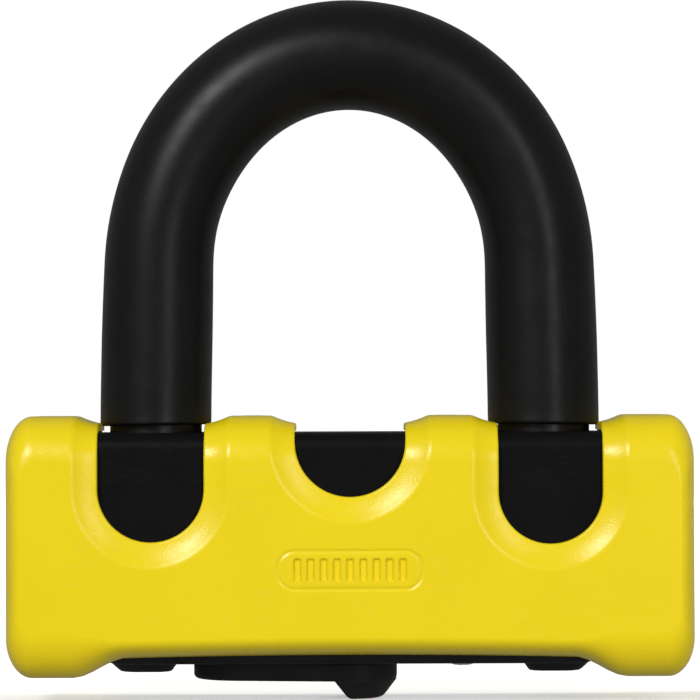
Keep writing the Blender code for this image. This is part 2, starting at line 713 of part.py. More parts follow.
def cam_plate(frame):
    """Round plate with two spiral slots and two holes for the rotor's driving dogs."""
    plate = rod("cam_plate", CAM_RADIUS, CAM_BOTTOM, CAM_TOP, look="hardened_steel", parent=frame)
    low, high = CAM_BOTTOM - PAST, CAM_TOP + PAST
    for start in (0.0, math.pi):
        cut(plate, prism("spiral_slot", spiral_slot(start), low, high))
    for angle in DOG_ANGLES:
        centre = around(DOG_REACH, angle)
        cut(plate, rod("dog_hole", DOG_RADIUS + PIN_FIT, low, high, centre=centre, steps=SMALL_STEPS))
    return plate


# --- Cylinder -------------------------------------------------------------


def keyway_cutter(low, high, turned_by=0.0, grow=0.0):
    """Cutter for the key's slot with its round core, as one solid."""
    half_width, half_height = KEYWAY[0] / 2 + grow, KEYWAY[1] / 2 + grow
    outline = rounded_rectangle(half_width, half_height, KEYWAY_CORNER, 2)
    slot = prism("keyway", outline, low, high)
    join(slot, rod("core", KEYWAY_CORE + grow, low - GAP, high + GAP, steps=SMALL_STEPS))
    slot.rotation_euler.z = turned_by
    return slot


def cylinder_housing():
    """Fixed sleeve of the cylinder, with a lip at the mouth and grooves inside."""
    body = rod("cylinder_housing", HOUSING_RADIUS, HOUSING_BOTTOM, HOUSING_TOP, look="brass")
    lip_top = ROTOR_BOTTOM - SMALL_GAP
    cut(body, rod("mouth", KEYHOLE_RADIUS + SMALL_GAP, HOUSING_BOTTOM - PAST, lip_top + GAP))
    cut(body, rod("rotor_bore", HOUSING_BORE, lip_top, HOUSING_TOP + PAST))
    centre = around(SIDEBAR_REACH + SIDEBAR_DROP, SIDEBAR_ANGLE + ROTOR_TRAVEL)
    radius = SIDEBAR_RADIUS + PIN_FIT
    low, high = SIDEBAR_ENDS[0] - GAP, SIDEBAR_ENDS[1] + GAP
    cut(body, rod("sidebar_groove", radius, low, high, centre=centre, steps=NOTCH_STEPS))
    cut(body, rod("ring_groove", RING_REACH[1] + PIN_FIT, RING_ENDS[0] - PIN_FIT, RING_ENDS[1] + PIN_FIT))
    cut(body, retaining_pin_hole(BODY_DEPTH))
    return shade_round(body)


def retaining_ring():
    """Open spring ring in the housing's groove, which keeps the rotor in."""
    low, high = RING_ENDS[0] - PAST, RING_ENDS[1] + PAST
    ring = rod("retaining_ring", RING_REACH[1], *RING_ENDS, look="bright_steel")
    cut(ring, rod("hole", RING_REACH[0], low, high))
    half = RING_OPENING / 2
    return cut(ring, block("ring_gap", (-half, -2 * HOUSING_BORE, low), (half, 0.0, high)))


def sidebar_cutter(low, high):
    """Cutter for the sidebar's slot or notch in a piece that turns with it."""
    centre = around(SIDEBAR_REACH, SIDEBAR_ANGLE)
    return rod("notch", SIDEBAR_RADIUS + PIN_FIT, low, high, centre=centre, steps=NOTCH_STEPS)


def rotor(frame):
    """Cup that the key turns, with the keyway in its face and a slot for the sidebar."""
    body = rod("rotor", ROTOR_RADIUS, ROTOR_BOTTOM, ROTOR_TOP, look="brass", parent=frame)
    floor = ROTOR_BOTTOM + ROTOR_FACE
    cut(body, rod("disc_space", DISC_RADIUS + SMALL_GAP, floor, ROTOR_TOP + PAST))
    cut(body, keyway_cutter(ROTOR_BOTTOM - PAST, floor + PAST))
    cut(body, sidebar_cutter(SIDEBAR_ENDS[0] - SMALL_GAP, SIDEBAR_ENDS[1] + SMALL_GAP))
    reach, half = 2 * ROTOR_RADIUS, END_PLATE_LUGS[1] / 2 + SMALL_GAP
    low = (-reach, -half, END_PLATE_BOTTOM - SMALL_GAP)
    high = (reach, half, ROTOR_TOP + PAST)
    cut(body, block("lug_slots", low, high))
    return shade_round(body)


def slotted_disc(name, low, thickness, look, frame, turned_by=0.0):
    """Round plate with the key's slot and, at its rim, the notch that the sidebar drops into."""
    plate = rod(name, DISC_RADIUS, low, low + thickness, steps=DISC_STEPS, look=look, parent=frame)
    below, above = low - PAST, low + thickness + PAST
    cut(plate, keyway_cutter(below, above, turned_by, grow=PIN_FIT))
    return cut(plate, sidebar_cutter(below, above))


def rotor_end_plate(frame):
    """Plate that closes the rotor, keyed to it by two lugs, with two dogs that drive the cam."""
    low, high = END_PLATE_BOTTOM, ROTOR_TOP
    plate = rod("rotor_end_plate", DISC_RADIUS, low, high, look="hardened_steel", parent=frame)
    half_reach, half_width = END_PLATE_LUGS[0] / 2, END_PLATE_LUGS[1] / 2
    join(plate, block("lugs", (-half_reach, -half_width, low), (half_reach, half_width, high)))
    for angle in DOG_ANGLES:
        centre = around(DOG_REACH, angle)
        join(plate, rod("dog", DOG_RADIUS, low + GAP, DOG_TOP, centre=centre, steps=SMALL_STEPS))
    return cut(plate, sidebar_cutter(low - PAST, SIDEBAR_ENDS[1] + GAP))


def sidebar(frame):
    """Rod that holds the rotor until every disc's notch is in line with it."""
    centre = around(SIDEBAR_REACH, SIDEBAR_ANGLE)
    placed = {"look": "bright_steel", "parent": frame}
    return rod("sidebar", SIDEBAR_RADIUS, *SIDEBAR_ENDS, centre=centre, steps=NOTCH_STEPS, **placed)


def cylinder_pin():
    """Cross pin that holds the cylinder in the case."""
    ends = (-RETAINING_PIN_FRONT, CASE_HALF_DEPTH - GAP)
    radius = RETAINING_PIN_RADIUS
    return rod("cylinder_pin", radius, *ends, "Y", RETAINING_PIN, SMALL_STEPS, look="bright_steel")


# --- Base plate and keyhole cover ----------------------------------------


def foot_pad(side):
    """Low pad under one end of the base plate, sloping all round."""
    inner, outer = PAD_INNER_END, BASE_HALF_WIDTH - GAP
    rings = []
    for level, trim in ((BASE_BOTTOM + PAD_ROOT, 0.0), (PAD_BOTTOM, PAD_SLOPE)):
        near, far = sorted((side * (inner + trim), side * (outer - trim)))
        depth = PAD_HALF_DEPTH - trim
        corners = ((near, -depth), (far, -depth), (far, depth), (near, depth))
        rings.append([(x, y, level) for x, y in corners])
    return loft("foot_pad", rings)


def base_plate():
    """Black plate that closes the body from below, with two pads, the keyhole and screw seats."""
    half_width, half_depth, edge = BASE_HALF_WIDTH, BASE_HALF_DEPTH, BASE_EDGE
    outer = rounded_rectangle(half_width, half_depth, BASE_CORNER)
    lower = rounded_rectangle(half_width - edge, half_depth - edge, BASE_CORNER - edge)
    levels = ((BASE_BOTTOM, lower), (BASE_BOTTOM + edge, outer), (BASE_TOP, outer))
    rings = [[(x, y, level) for x, y in outline] for level, outline in levels]
    plate = loft("base_plate", rings, look="black_plastic")
    join(plate, foot_pad(-1), foot_pad(1))
    below, above = BASE_BOTTOM - PAST, BASE_TOP + PAST
    screw, pivot = (SCREW_REACH, 0), (-SCREW_REACH, 0)
    seat_top = SCREW_HEAD_TOP + GAP
    washer_top = WASHER_BOTTOM + WASHER_THICKNESS + PIN_FIT
    holes = (
        ("keyhole", KEYHOLE_RADIUS, above, (0, 0)),
        ("screw_seat", SCREW_HEAD_RADIUS + GAP, seat_top, screw),
        ("screw_hole", SCREW_RADIUS + SMALL_GAP, above, screw),
        ("washer_seat", WASHER_RADIUS + SMALL_GAP, washer_top, pivot),
        ("pivot_hole", PIVOT_RADIUS + PIVOT_FIT, above, pivot),
    )
    for name, radius, top, centre in holes:
        cut(plate, rod(name, radius, below, top, centre=centre, steps=DISC_STEPS))
    return shade_round(plate)


def screw_with_recess(name, profile, across):
    """A screw standing on its head, with a hexagonal recess for the driver."""
    bottom = profile[0][1]
    screw = turned(name, profile, BOLT_STEPS, look="bright_steel", at=(across, 0, 0))
    centre = (across, 0)
    recess = rod("hex_recess", HEX_RADIUS, bottom - PAST, bottom + HEX_DEPTH, centre=centre, steps=6)
    return cut(screw, recess)


def base_screw():
    """Domed screw through the base plate into the case."""
    profile = [(0.0, SCREW_HEAD_BOTTOM)]
    dome = (SCREW_HEAD_TOP - SCREW_HEAD_BOTTOM) / 2
    for turn in quarter(BEND_STEPS)[2:]:
        height = SCREW_HEAD_BOTTOM + dome * (1 - math.cos(turn))
        profile.append((SCREW_HEAD_RADIUS * math.sin(turn), height))
    profile += [(SCREW_HEAD_RADIUS, SCREW_HEAD_TOP), (SCREW_RADIUS, SCREW_HEAD_TOP)]
    profile += [(SCREW_RADIUS, SCREW_TOP), (0.0, SCREW_TOP)]
    return screw_with_recess("base_screw", profile, SCREW_REACH)


def pivot_screw():
    """Shouldered screw that the keyhole cover swings on. Its head is sunk in the cover."""
    bottom, top = PIVOT_HEAD
    profile = [
        (0.0, bottom),
        (PIVOT_HEAD_RADIUS - GAP, bottom),
        (PIVOT_HEAD_RADIUS, bottom + GAP),
        (PIVOT_HEAD_RADIUS, top),
        (PIVOT_RADIUS, top),
        (PIVOT_RADIUS, BASE_TOP),
        (SCREW_RADIUS, BASE_TOP),
        (SCREW_RADIUS, SCREW_TOP),
        (0.0, SCREW_TOP),
    ]
    return screw_with_recess("pivot_screw", profile, -SCREW_REACH)


def friction_washer():
    """Washer that keeps the keyhole cover where it is put."""
    placed = {"steps": DISC_STEPS, "at": (-SCREW_REACH, 0, WASHER_BOTTOM)}
    look = "bright_steel"
    washer = rod("friction_washer", WASHER_RADIUS, 0, WASHER_THICKNESS, look=look, **placed)
    return cut(washer, rod("hole", PIVOT_RADIUS + PIN_FIT, -PAST, PAST, **placed))


def shutter_outline(trim=0.0):
    """Outline of the keyhole cover's plate: two round ends and the lines that touch both."""
    near, far = SHUTTER_PIVOT_RADIUS - trim, SHUTTER_END_RADIUS - trim
    lean = math.degrees(math.asin((far - near) / SCREW_REACH))
    outline = [around(far, turn) for turn in quarter(SHUTTER_STEPS, -90 - lean, 90 + lean)]
    outline = [(SCREW_REACH + x, y) for x, y in outline]
    return outline + [around(near, turn) for turn in quarter(SHUTTER_STEPS, 90 + lean, 270 - lean)]


def knob_outline(radius, heel):
    """A round end with a flat heel, square to the cover's length."""
    half = math.degrees(math.acos(heel / radius))
    turns = quarter(SHUTTER_STEPS, -half, half)
    return [(SCREW_REACH + radius * math.cos(t), radius * math.sin(t)) for t in turns]


def keyhole_cover(frame):
    """Swinging plate over the keyhole, with a knob for the thumb under its free end."""
    drop = frame.location.z
    plate_levels = (
        (SHUTTER_BOTTOM, SHUTTER_EDGE),
        (SHUTTER_BOTTOM + SHUTTER_EDGE, 0.0),
        (SHUTTER_TOP - SHUTTER_EDGE / 2, 0.0),
        (SHUTTER_TOP, SHUTTER_EDGE / 2),
    )
    rings = [[(x, y, z - drop) for x, y in shutter_outline(trim)] for z, trim in plate_levels]
    plate = loft("keyhole_cover", rings, look="black_plastic", parent=frame)
    knob_levels = (
        (SHUTTER_BOTTOM + SHUTTER_EDGE, KNOB_RADIUS, KNOB_HEEL),
        (SHUTTER_BOTTOM, KNOB_RADIUS, KNOB_HEEL),
        (KNOB_EDGE, KNOB_TIP_RADIUS, 0.0),
        (0.0, KNOB_TIP_RADIUS - KNOB_EDGE, KNOB_EDGE),
    )
    rings = [[(x, y, z - drop) for x, y in knob_outline(r, heel)] for z, r, heel in knob_levels]
    join(plate, loft("knob", rings, parent=frame))
    seat_top = PIVOT_HEAD[1] + GAP - drop
    head_seat = PIVOT_HEAD_RADIUS + GAP
    cut(plate, rod("head_seat", head_seat, -drop, seat_top, steps=DISC_STEPS, parent=frame))
    hole = PIVOT_RADIUS + PIVOT_FIT
    cut(plate, rod("pivot_hole", hole, 0, BASE_TOP, steps=DISC_STEPS, parent=frame))
    return shade_round(plate)


def main():
    clear_scene()
    shackle = moving_frame("shackle_frame", (0, 0, 0))
    turning = moving_frame("rotor_frame", (0, 0, 0))
    pivot = moving_frame("keyhole_cover_frame", (-SCREW_REACH, 0, SHUTTER_BOTTOM))
    shackle_bar(shackle)
    shackle_sleeve(shackle)
    half_cover("cover_front", -1)
    half_cover("cover_rear", 1)
    jacket()
    case()
    base_plate()
    base_screw()
    pivot_screw()
    friction_washer()
    keyhole_cover(pivot)
    for name, side in (("left", -1), ("right", 1)):
        leg_seal("leg_seal_" + name, side)
        end_plug("end_plug_" + name, side)
        bolt("bolt_" + name, side)
        follower_pin("follower_pin_" + name, side)
    cylinder_housing()
    retaining_ring()
    cylinder_pin()
    rotor(turning)
    guard_floor = ROTOR_BOTTOM + ROTOR_FACE + SMALL_GAP
    slotted_disc("drill_guard", guard_floor, GUARD_THICKNESS, "hardened_steel", turning)
    for i, degrees in enumerate(DISC_CODE):
        low = DISC_FLOOR + DISC_PITCH * i
        name = f"detainer_disc_{i + 1}"
        slotted_disc(name, low, DISC_THICKNESS, "brass", turning, math.radians(degrees))
    rotor_end_plate(turning)
    sidebar(turning)
    cam_plate(turning)


main()
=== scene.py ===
"""Looks for the U lock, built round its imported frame.

Everything is in metres, in the frame's own axes: +Z up the shackle, +X across its two legs, and
the front face looks along -Y. Sizes come from the frame's boxes and from the dimensions below.
"""

import math

import bmesh
import bpy
from mathutils import Matrix, Quaternion, Vector


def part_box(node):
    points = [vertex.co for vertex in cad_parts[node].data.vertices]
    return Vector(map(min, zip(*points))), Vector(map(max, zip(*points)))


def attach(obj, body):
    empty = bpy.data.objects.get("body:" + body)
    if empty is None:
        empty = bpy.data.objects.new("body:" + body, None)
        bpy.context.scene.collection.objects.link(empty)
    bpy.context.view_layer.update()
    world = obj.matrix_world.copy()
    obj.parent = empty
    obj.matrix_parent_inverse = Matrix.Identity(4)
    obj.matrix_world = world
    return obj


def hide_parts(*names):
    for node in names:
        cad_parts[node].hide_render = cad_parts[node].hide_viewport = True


MM = 0.001
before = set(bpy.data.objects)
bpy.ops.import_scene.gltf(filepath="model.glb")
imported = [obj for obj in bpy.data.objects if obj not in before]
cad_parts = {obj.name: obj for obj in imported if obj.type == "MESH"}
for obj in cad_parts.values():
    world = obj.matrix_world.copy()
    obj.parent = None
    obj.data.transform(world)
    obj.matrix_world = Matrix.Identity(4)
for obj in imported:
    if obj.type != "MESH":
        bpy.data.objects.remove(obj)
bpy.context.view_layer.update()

cover_low, cover_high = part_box("cover_front")
jacket_low, jacket_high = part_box("jacket")
sleeve_low, sleeve_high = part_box("shackle_sleeve")
bar_low, bar_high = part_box("shackle_bar")
base_low, base_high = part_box("base_plate")
_, shutter_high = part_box("keyhole_cover")
screw_low, screw_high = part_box("base_screw")
pivot_low, pivot_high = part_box("pivot_screw")
washer_low, washer_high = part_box("friction_washer")
seal_low, seal_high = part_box("leg_seal_right")
bolt_low, bolt_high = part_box("bolt_right")

PAST = 2 * MM  # how far a cutter runs past the face that it opens

# Covers
HALF_WIDTH = cover_high.x
HALF_DEPTH = -cover_low.y - 0.005 * MM
COVER_TOP = cover_high.z + 0.2 * MM
FOOT_BOTTOM = cover_low.z
HALF_SEAM = -cover_high.y
COVER_BOTTOM = 7.3 * MM  # lower edge, in the middle
COVER_ARCH = 0.4 * MM  # the lower edge drops this much on its way to the feet
COVER_WALL = 2.2 * MM
EDGE_ROUND = 7.1 * MM
SIDE_ROUND = 2.8 * MM
BOTTOM_ROUND = (3.1 * MM, 7.2 * MM)  # in the middle and at the feet
TOP_CORNER = (4.0 * MM, 6.9 * MM)  # half an ellipse's width and height
LOW_CORNER = (4.0 * MM, 6.0 * MM)
CORNER_SHRINK = 0.45
FOOT_RISE = (34.0 * MM, 42.0 * MM)
SIDE_DRAFT = 0.3 * MM  # the sides taper this much from the seam to the front
SEAM_ROUND = 0.06  # share of the rounding that the covers' edges have at their seam

# Scallops: (centre across, centre height, radius)
LEG_REACH = (seal_low.x + seal_high.x) / 2
LEG_SCALLOP = (LEG_REACH, 32.6 * MM, 8.0 * MM)
MIDDLE_SCALLOP = (0.05 * MM, 39.65 * MM, 8.3 * MM)
RIGHT_SCALLOP = (LEG_REACH + 0.22 * MM, 32.05 * MM, 7.82 * MM)  # the front cover's
REAR_EXTRA = 1.3 * MM
RIM_WIDTH = 3.7 * MM
RIM_SLOPES = (math.radians(24), math.radians(11))  # at its outer edge and at its lip
RIM_CREASE = 0.5 * MM  # the surface bends into the rim over this much each way
RIM_SKIM = 0.01 * MM  # the rim's cutter starts this much above the surface
CREASE_STEPS = 8
RIM_STEPS = 14
LIP_ROUND = 0.45 * MM

# Grip panel
PANEL_SIZE = (21.6 * MM, 5.7 * MM)  # to the middle of the groove round it
PANEL_HEIGHT = 20.4 * MM
PANEL_CORNER = 2.5 * MM
GROOVE = ((-0.62 * MM, -0.05 * MM), (-0.3 * MM, 0.1 * MM), (0.0, 0.21 * MM))  # (across, below)
SLOT_COUNT = 9
SLOT_SIZE = (1.05 * MM, 3.4 * MM)
SLOT_PITCH = 1.98 * MM
SLOT_DEPTH = 0.5 * MM
SLOT_EDGE = 0.14 * MM

# Jacket
JACKET_TOP = jacket_high.z + 0.12 * MM
JACKET_ROUND = 2.4 * MM
JACKET_CORNER = (2.4 * MM, 4.4 * MM)
JACKET_WALL = 1.6 * MM
CAVITY_GAP = 0.3 * MM
LEG_HOLE = 7.6 * MM

# Shackle
BAR_RADIUS = bar_high.y + 0.1 * MM
SLEEVE_RADIUS = sleeve_high.y
SLEEVE_FIT = 0.25 * MM
SLEEVE_EDGE = 0.5 * MM
ARCH_TOP = sleeve_high.z - SLEEVE_RADIUS
ARCH_RISE = 33.4 * MM
ARCH_HALF_WIDTH = 29.5 * MM
LEAN_FROM = 43.0 * MM
LEAN_POWER = 1.3
END_TILT = math.radians(-1.2)  # the sleeve's ends are a little lower on their outer sides
SHOULDER_THIN = 0.16 * MM  # the sleeve is drawn a little thinner round its bends
SHOULDER_AT = (18, 16)  # degrees up the arch where it is thinnest, and how far that spreads
LEG_SWELL = 0.09 * MM  # and is a little fuller along its legs
SWELL_OVER = 10 * MM
TIP_CHAMFER = 1.6 * MM
NOTCH_DEPTH = 4.0 * MM
NOTCH_HALF_HEIGHT = 5.0 * MM
BOLT_HEIGHT = (bolt_low.z + bolt_high.z) / 2

# Base plate
BASE_BOTTOM = base_low.z + 1.27 * MM  # above the pads' own underside
BASE_SPREAD = 0.6 * MM  # how far it reaches under the covers
BASE_CORNER = 4.0 * MM
BASE_EDGE = 0.8 * MM
PAD_BOTTOM = base_low.z - 0.15 * MM
PAD_ENDS = (26.2 * MM, 37.0 * MM)
PAD_HALF_DEPTH = 8.5 * MM
PAD_SLOPES = (1.3 * MM, 2.0 * MM)  # at its inner and its outer end
PAD_CORNER = 2.2 * MM
PAD_ROOT = 0.4 * MM  # how far it reaches into the plate
# Down a pad: (height above its underside, share of its slopes)
PAD_LEVELS = ((0.42 * MM, 0.70), (0.20 * MM, 0.84), (0.06 * MM, 0.95), (0.0, 1.12))
KEYHOLE_RADIUS = 6.2 * MM
SCREW_REACH = (screw_low.x + screw_high.x) / 2
HOLE_EDGE = 0.25 * MM

# Screws
SCREW_HEAD_RADIUS = (screw_high.x - screw_low.x) / 2
SCREW_HEAD_BOTTOM = 4.82 * MM
SCREW_HEAD_TOP = 7.6 * MM
SCREW_RADIUS = 1.5 * MM
SCREW_CHAMFER = 0.4 * MM
SCREW_EDGE = 0.08 * MM
HEAD_GAP = 0.3 * MM  # between a head and its seat
SHANK_GAP = 0.2 * MM
PIVOT_GAP = 0.1 * MM
HEX_RADIUS = 1.25 * MM
HEX_DEPTH = 0.9 * MM
PIVOT_HEAD_RADIUS = (pivot_high.x - pivot_low.x) / 2
PIVOT_HEAD_TOP = pivot_low.z + 1.1 * MM
PIVOT_RADIUS = 2.0 * MM

# Keyhole cover
SHUTTER_TOP = shutter_high.z - 0.1 * MM
SHUTTER_BOTTOM = (3.05 * MM, 2.75 * MM)  # at its pivot end and at its free end
SHUTTER_EDGE = 0.8 * MM
SHUTTER_PIVOT_RADIUS = 6.9 * MM
SHUTTER_END_RADIUS = 7.2 * MM
KNOB_TOP = 3.6 * MM
# Down the knob: (height, radius of its round end, where its flat heel is from the keyhole's centre)
KNOB_LEVELS = (
    (2.85 * MM, 7.1 * MM, -2.4 * MM),
    (0.62 * MM, 5.4 * MM, -0.7 * MM),
    (0.32 * MM, 5.1 * MM, -0.4 * MM),
    (0.12 * MM, 4.7 * MM, -0.1 * MM),
    (0.03 * MM, 4.3 * MM, 0.2 * MM),
    (0.0, 3.95 * MM, 0.5 * MM),
)

# Leg seals
SEAL_RADIUS = (seal_high.x - seal_low.x) / 2
SEAL_BORE = 7.2 * MM
SEAL_LIP = 0.5 * MM

# Camera and floor
CAMERA_DISTANCE = 0.554
CAMERA_ACROSS = 0.1 * MM
CAMERA_EYE = 45 * MM
CAMERA_AIM = 53.7 * MM
CAMERA_ROLL = math.radians(-0.2)
VIEW_WIDTH = 108.5 * MM
SENSOR_WIDTH = 36
FLOOR_RADIUS = 3.0
FLOOR_HEIGHT = -0.05 * MM
ROOM_LIGHT = 0.21  # what the room adds to the lights
ROOM_PALENESS = 1.0  # how pale it looks

# Steps of curves
ROUND_STEPS = 96
BEND_STEPS = 18
SCALLOP_STEPS = 64
FOOT_STEPS = 28
ARCH_STEPS = 52


# --- Mesh helpers -----------------------------------------------------------


def finish_mesh(name, bm):
    bmesh.ops.recalc_face_normals(bm, faces=bm.faces)
    mesh = bpy.data.meshes.new(name)
    bm.to_mesh(mesh)
    bm.free()
    obj = bpy.data.objects.new(name, mesh)
    bpy.context.scene.collection.objects.link(obj)
    return obj


def loft(name, rings, closed=False):
    """A solid through rings of as many points each. It is capped, or closed round on itself."""
    bm = bmesh.new()
    loops = [[bm.verts.new(point) for point in ring] for ring in rings]
    pairs = list(zip(loops, loops[1:]))
    if closed:
        pairs.append((loops[-1], loops[0]))
    for low, high in pairs:
        for i in range(len(low)):
            after = (i + 1) % len(low)
            bm.faces.new((low[i], low[after], high[after], high[i]))
    if not closed:
        bm.faces.new(loops[0])
        bm.faces.new(loops[-1])
    return finish_mesh(name, bm)


def quarter(steps, start=0.0, end=90.0):
    """Angles through a bend, both ends included."""
    return [math.radians(start + (end - start) * i / steps) for i in range(steps + 1)]


def circle(radius, steps=ROUND_STEPS, centre=(0, 0)):
    turns = (2 * math.pi * i / steps for i in range(steps))
    return [(centre[0] + radius * math.cos(t), centre[1] + radius * math.sin(t)) for t in turns]


def prism(name, outline, low, high, axis="Z"):
    """An outline extruded along an axis. Along Y the outline is (x, z), along X it is (y, z)."""
    put = {
        "X": lambda a, b, level: (level, a, b),
        "Y": lambda a, b, level: (a, level, b),
        "Z": lambda a, b, level: (a, b, level),
    }[axis]
    return loft(name, [[put(a, b, level) for a, b in outline] for level in (low, high)])


def block(name, low, high):
    outline = [(low[0], low[1]), (high[0], low[1]), (high[0], high[1]), (low[0], high[1])]
    return prism(name, outline, low[2], high[2])


def rod(name, radius, low, high, axis="Z", centre=(0, 0), steps=ROUND_STEPS):
    return prism(name, circle(radius, steps, centre), low, high, axis)


def turned(name, profile, centre=(0, 0), steps=ROUND_STEPS, closed=False):
    """A solid turned about a vertical line from (radius, height) points."""
    rings = [[(x, y, z) for x, y in circle(radius, steps, centre)] for radius, z in profile]
    return loft(name, rings, closed)


def rounded_rectangle(half_width, half_height, corner, steps=12, centre=(0, 0)):
    """Outline of a rectangle with round corners, anticlockwise from its right side."""
    outline = []
    for across, up, start in ((1, 1, 0), (-1, 1, 90), (-1, -1, 180), (1, -1, 270)):
        for turn in quarter(steps, start, start + 90):
            x = across * (half_width - corner) + corner * math.cos(turn)
            y = up * (half_height - corner) + corner * math.sin(turn)
            outline.append((centre[0] + x, centre[1] + y))
    return outline


def combine(obj, operation, others):
    """Boolean of obj with each of the others, which are then removed."""
    for other in others:
        change = obj.modifiers.new("change", "BOOLEAN")
        change.operation = operation
        change.solver = "EXACT"
        change.object = other
    bpy.context.view_layer.update()
    graph = bpy.context.evaluated_depsgraph_get()
    changed = bpy.data.meshes.new_from_object(obj.evaluated_get(graph))
    obj.modifiers.clear()
    obj.data = changed
    for other in others:
        bpy.data.objects.remove(other)
    return obj


def cut(obj, *cutters):
    return combine(obj, "DIFFERENCE", cutters)


def join(obj, *others):
    return combine(obj, "UNION", others)


def shade_round(obj, degrees=32):
    """Smooth shading that keeps sharp edges and flat faces true."""
    obj.data.shade_smooth()
    obj.data.set_sharp_from_angle(angle=math.radians(degrees))
    weigh = obj.modifiers.new("weigh_normals", "WEIGHTED_NORMAL")
    weigh.keep_sharp = True
    return obj


def soften_edges(obj, width, segments=3, degrees=40):
    """Small round on every edge sharper than an angle."""
    bevel = obj.modifiers.new("edge_round", "BEVEL")
    bevel.width = width
    bevel.segments = segments
    bevel.limit_method = "ANGLE"
    bevel.angle_limit = math.radians(degrees)
    bevel.use_clamp_overlap = True
    bevel.miter_outer = "MITER_ARC"
    return shade_round(obj)


def place(obj, body, look, slot, *nodes):
    """Gives a finished piece its material and its body, and hides the CAD nodes it stands for. slot
    is not used.
    """
    obj.data.materials.clear()
    obj.data.materials.append(look)
    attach(obj, body)
    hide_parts(*nodes)
    return obj


# --- Materials --------------------------------------------------------------


class Look:
    """A material under construction: a Principled shader and short calls for its nodes."""

    def __init__(self, name, **values):
        self.material = bpy.data.materials.new(name)
        self.material.use_nodes = True
        self.tree = self.material.node_tree
        self.shader = self.tree.nodes["Principled BSDF"]
        for socket, value in values.items():
            self.shader.inputs[socket.replace("_", " ")].default_value = value
        self.place = self.tree.nodes.new("ShaderNodeTexCoord").outputs["Object"]

    def node(self, kind, links=(), **settings):
        made = self.tree.nodes.new("ShaderNode" + kind)
        for key, value in settings.items():
            setattr(made, key, value)
        for socket, source in dict(links).items():
            if isinstance(source, bpy.types.NodeSocket):
                self.tree.links.new(source, made.inputs[socket])
            else:
                made.inputs[socket].default_value = source
        return made

    def stretched(self, scale, turn=(0, 0, 0)):
        links = {"Vector": self.place, "Scale": scale, "Rotation": turn}
        return self.node("Mapping", links).outputs[0]

    def noise(self, size, detail=2.0, roughness=0.5, vector=None):
        """Noise with features about one size across."""
        links = {
            "Vector": vector or self.place,
            "Scale": 1 / size,
            "Detail": detail,
            "Roughness": roughness,
        }
        return self.node("TexNoise", links).outputs[0]

    def spread(self, value, low, high, to_low, to_high):
        """Maps a value's range to another, and holds it there."""
        links = {
            "Value": value,
            "From Min": low,
            "From Max": high,
            "To Min": to_low,
            "To Max": to_high,
        }
        return self.node("MapRange", links).outputs[0]

    def mix(self, factor, first, second):
        made = self.node("Mix", data_type="RGBA")
        self.tree.links.new(factor, made.inputs[0])
        for socket, colour in ((made.inputs[6], first), (made.inputs[7], second)):
            if isinstance(colour, bpy.types.NodeSocket):
                self.tree.links.new(colour, socket)
            else:
                socket.default_value = (*colour, 1)
        return made.outputs[2]

    def math(self, operation, first, second):
        return self.node("Math", {0: first, 1: second}, operation=operation).outputs[0]

    def bump(self, *layers):
        """Bumps laid over each other: (height, depth) pairs."""
        normal = None
        for height, depth in layers:
            links = {"Height": height, "Distance": depth, "Strength": 1.0}
            if normal:
                links["Normal"] = normal
            normal = self.node("Bump", links).outputs[0]
        self.tree.links.new(normal, self.shader.inputs["Normal"])

    def set(self, socket, source):
        self.tree.links.new(source, self.shader.inputs[socket])


def scratches(look, width, length, direction, keep=0.66):
    """Sparse fine lines, longer than wide, as a 0 to 1 mask."""
    stretch = [1 / width, 1 / width, 1 / width]
    stretch[direction] = 1 / length
    vector = look.stretched(stretch, turn=(0.3, 0.5, 0.4))
    lines = look.noise(1.0, detail=1.0, vector=vector)
    where = look.noise(9 * MM, detail=2.0)
    fine = look.spread(lines, keep, keep + 0.05, 0.0, 1.0)
    patches = look.spread(where, 0.5, 0.62, 0.0, 1.0)
    return look.math("MULTIPLY", fine, patches)


def yellow_plastic():
    look = Look("yellow_plastic", Specular_IOR_Level=0.42, IOR=1.48)
    clouds = look.noise(14 * MM, detail=3.0)
    clouds = look.spread(clouds, 0.3, 0.7, 0, 1)
    colour = look.mix(clouds, (0.82, 0.636, 0.006), (0.85, 0.660, 0.0075))
    specks = look.noise(0.5 * MM, detail=1.0)
    dust = look.spread(specks, 0.75, 0.80, 0.0, 0.15)
    colour = look.mix(dust, colour, (0.55, 0.42, 0.02))
    marks = scratches(look, 0.07 * MM, 3.0 * MM, 0)
    colour = look.mix(look.math("MULTIPLY", marks, 0.25), colour, (0.62, 0.47, 0.03))
    look.set("Base Color", colour)
    grain = look.noise(0.3 * MM, detail=2.0, roughness=0.6)
    waves = look.noise(6 * MM, detail=2.0)
    rough = look.spread(look.noise(1.6 * MM, detail=3.0), 0.3, 0.7, 0.22, 0.30)
    look.set("Roughness", look.math("ADD", rough, look.math("MULTIPLY", marks, 0.15)))
    look.bump((grain, 0.03 * MM), (waves, 0.03 * MM), (marks, -0.006 * MM))
    return look.material


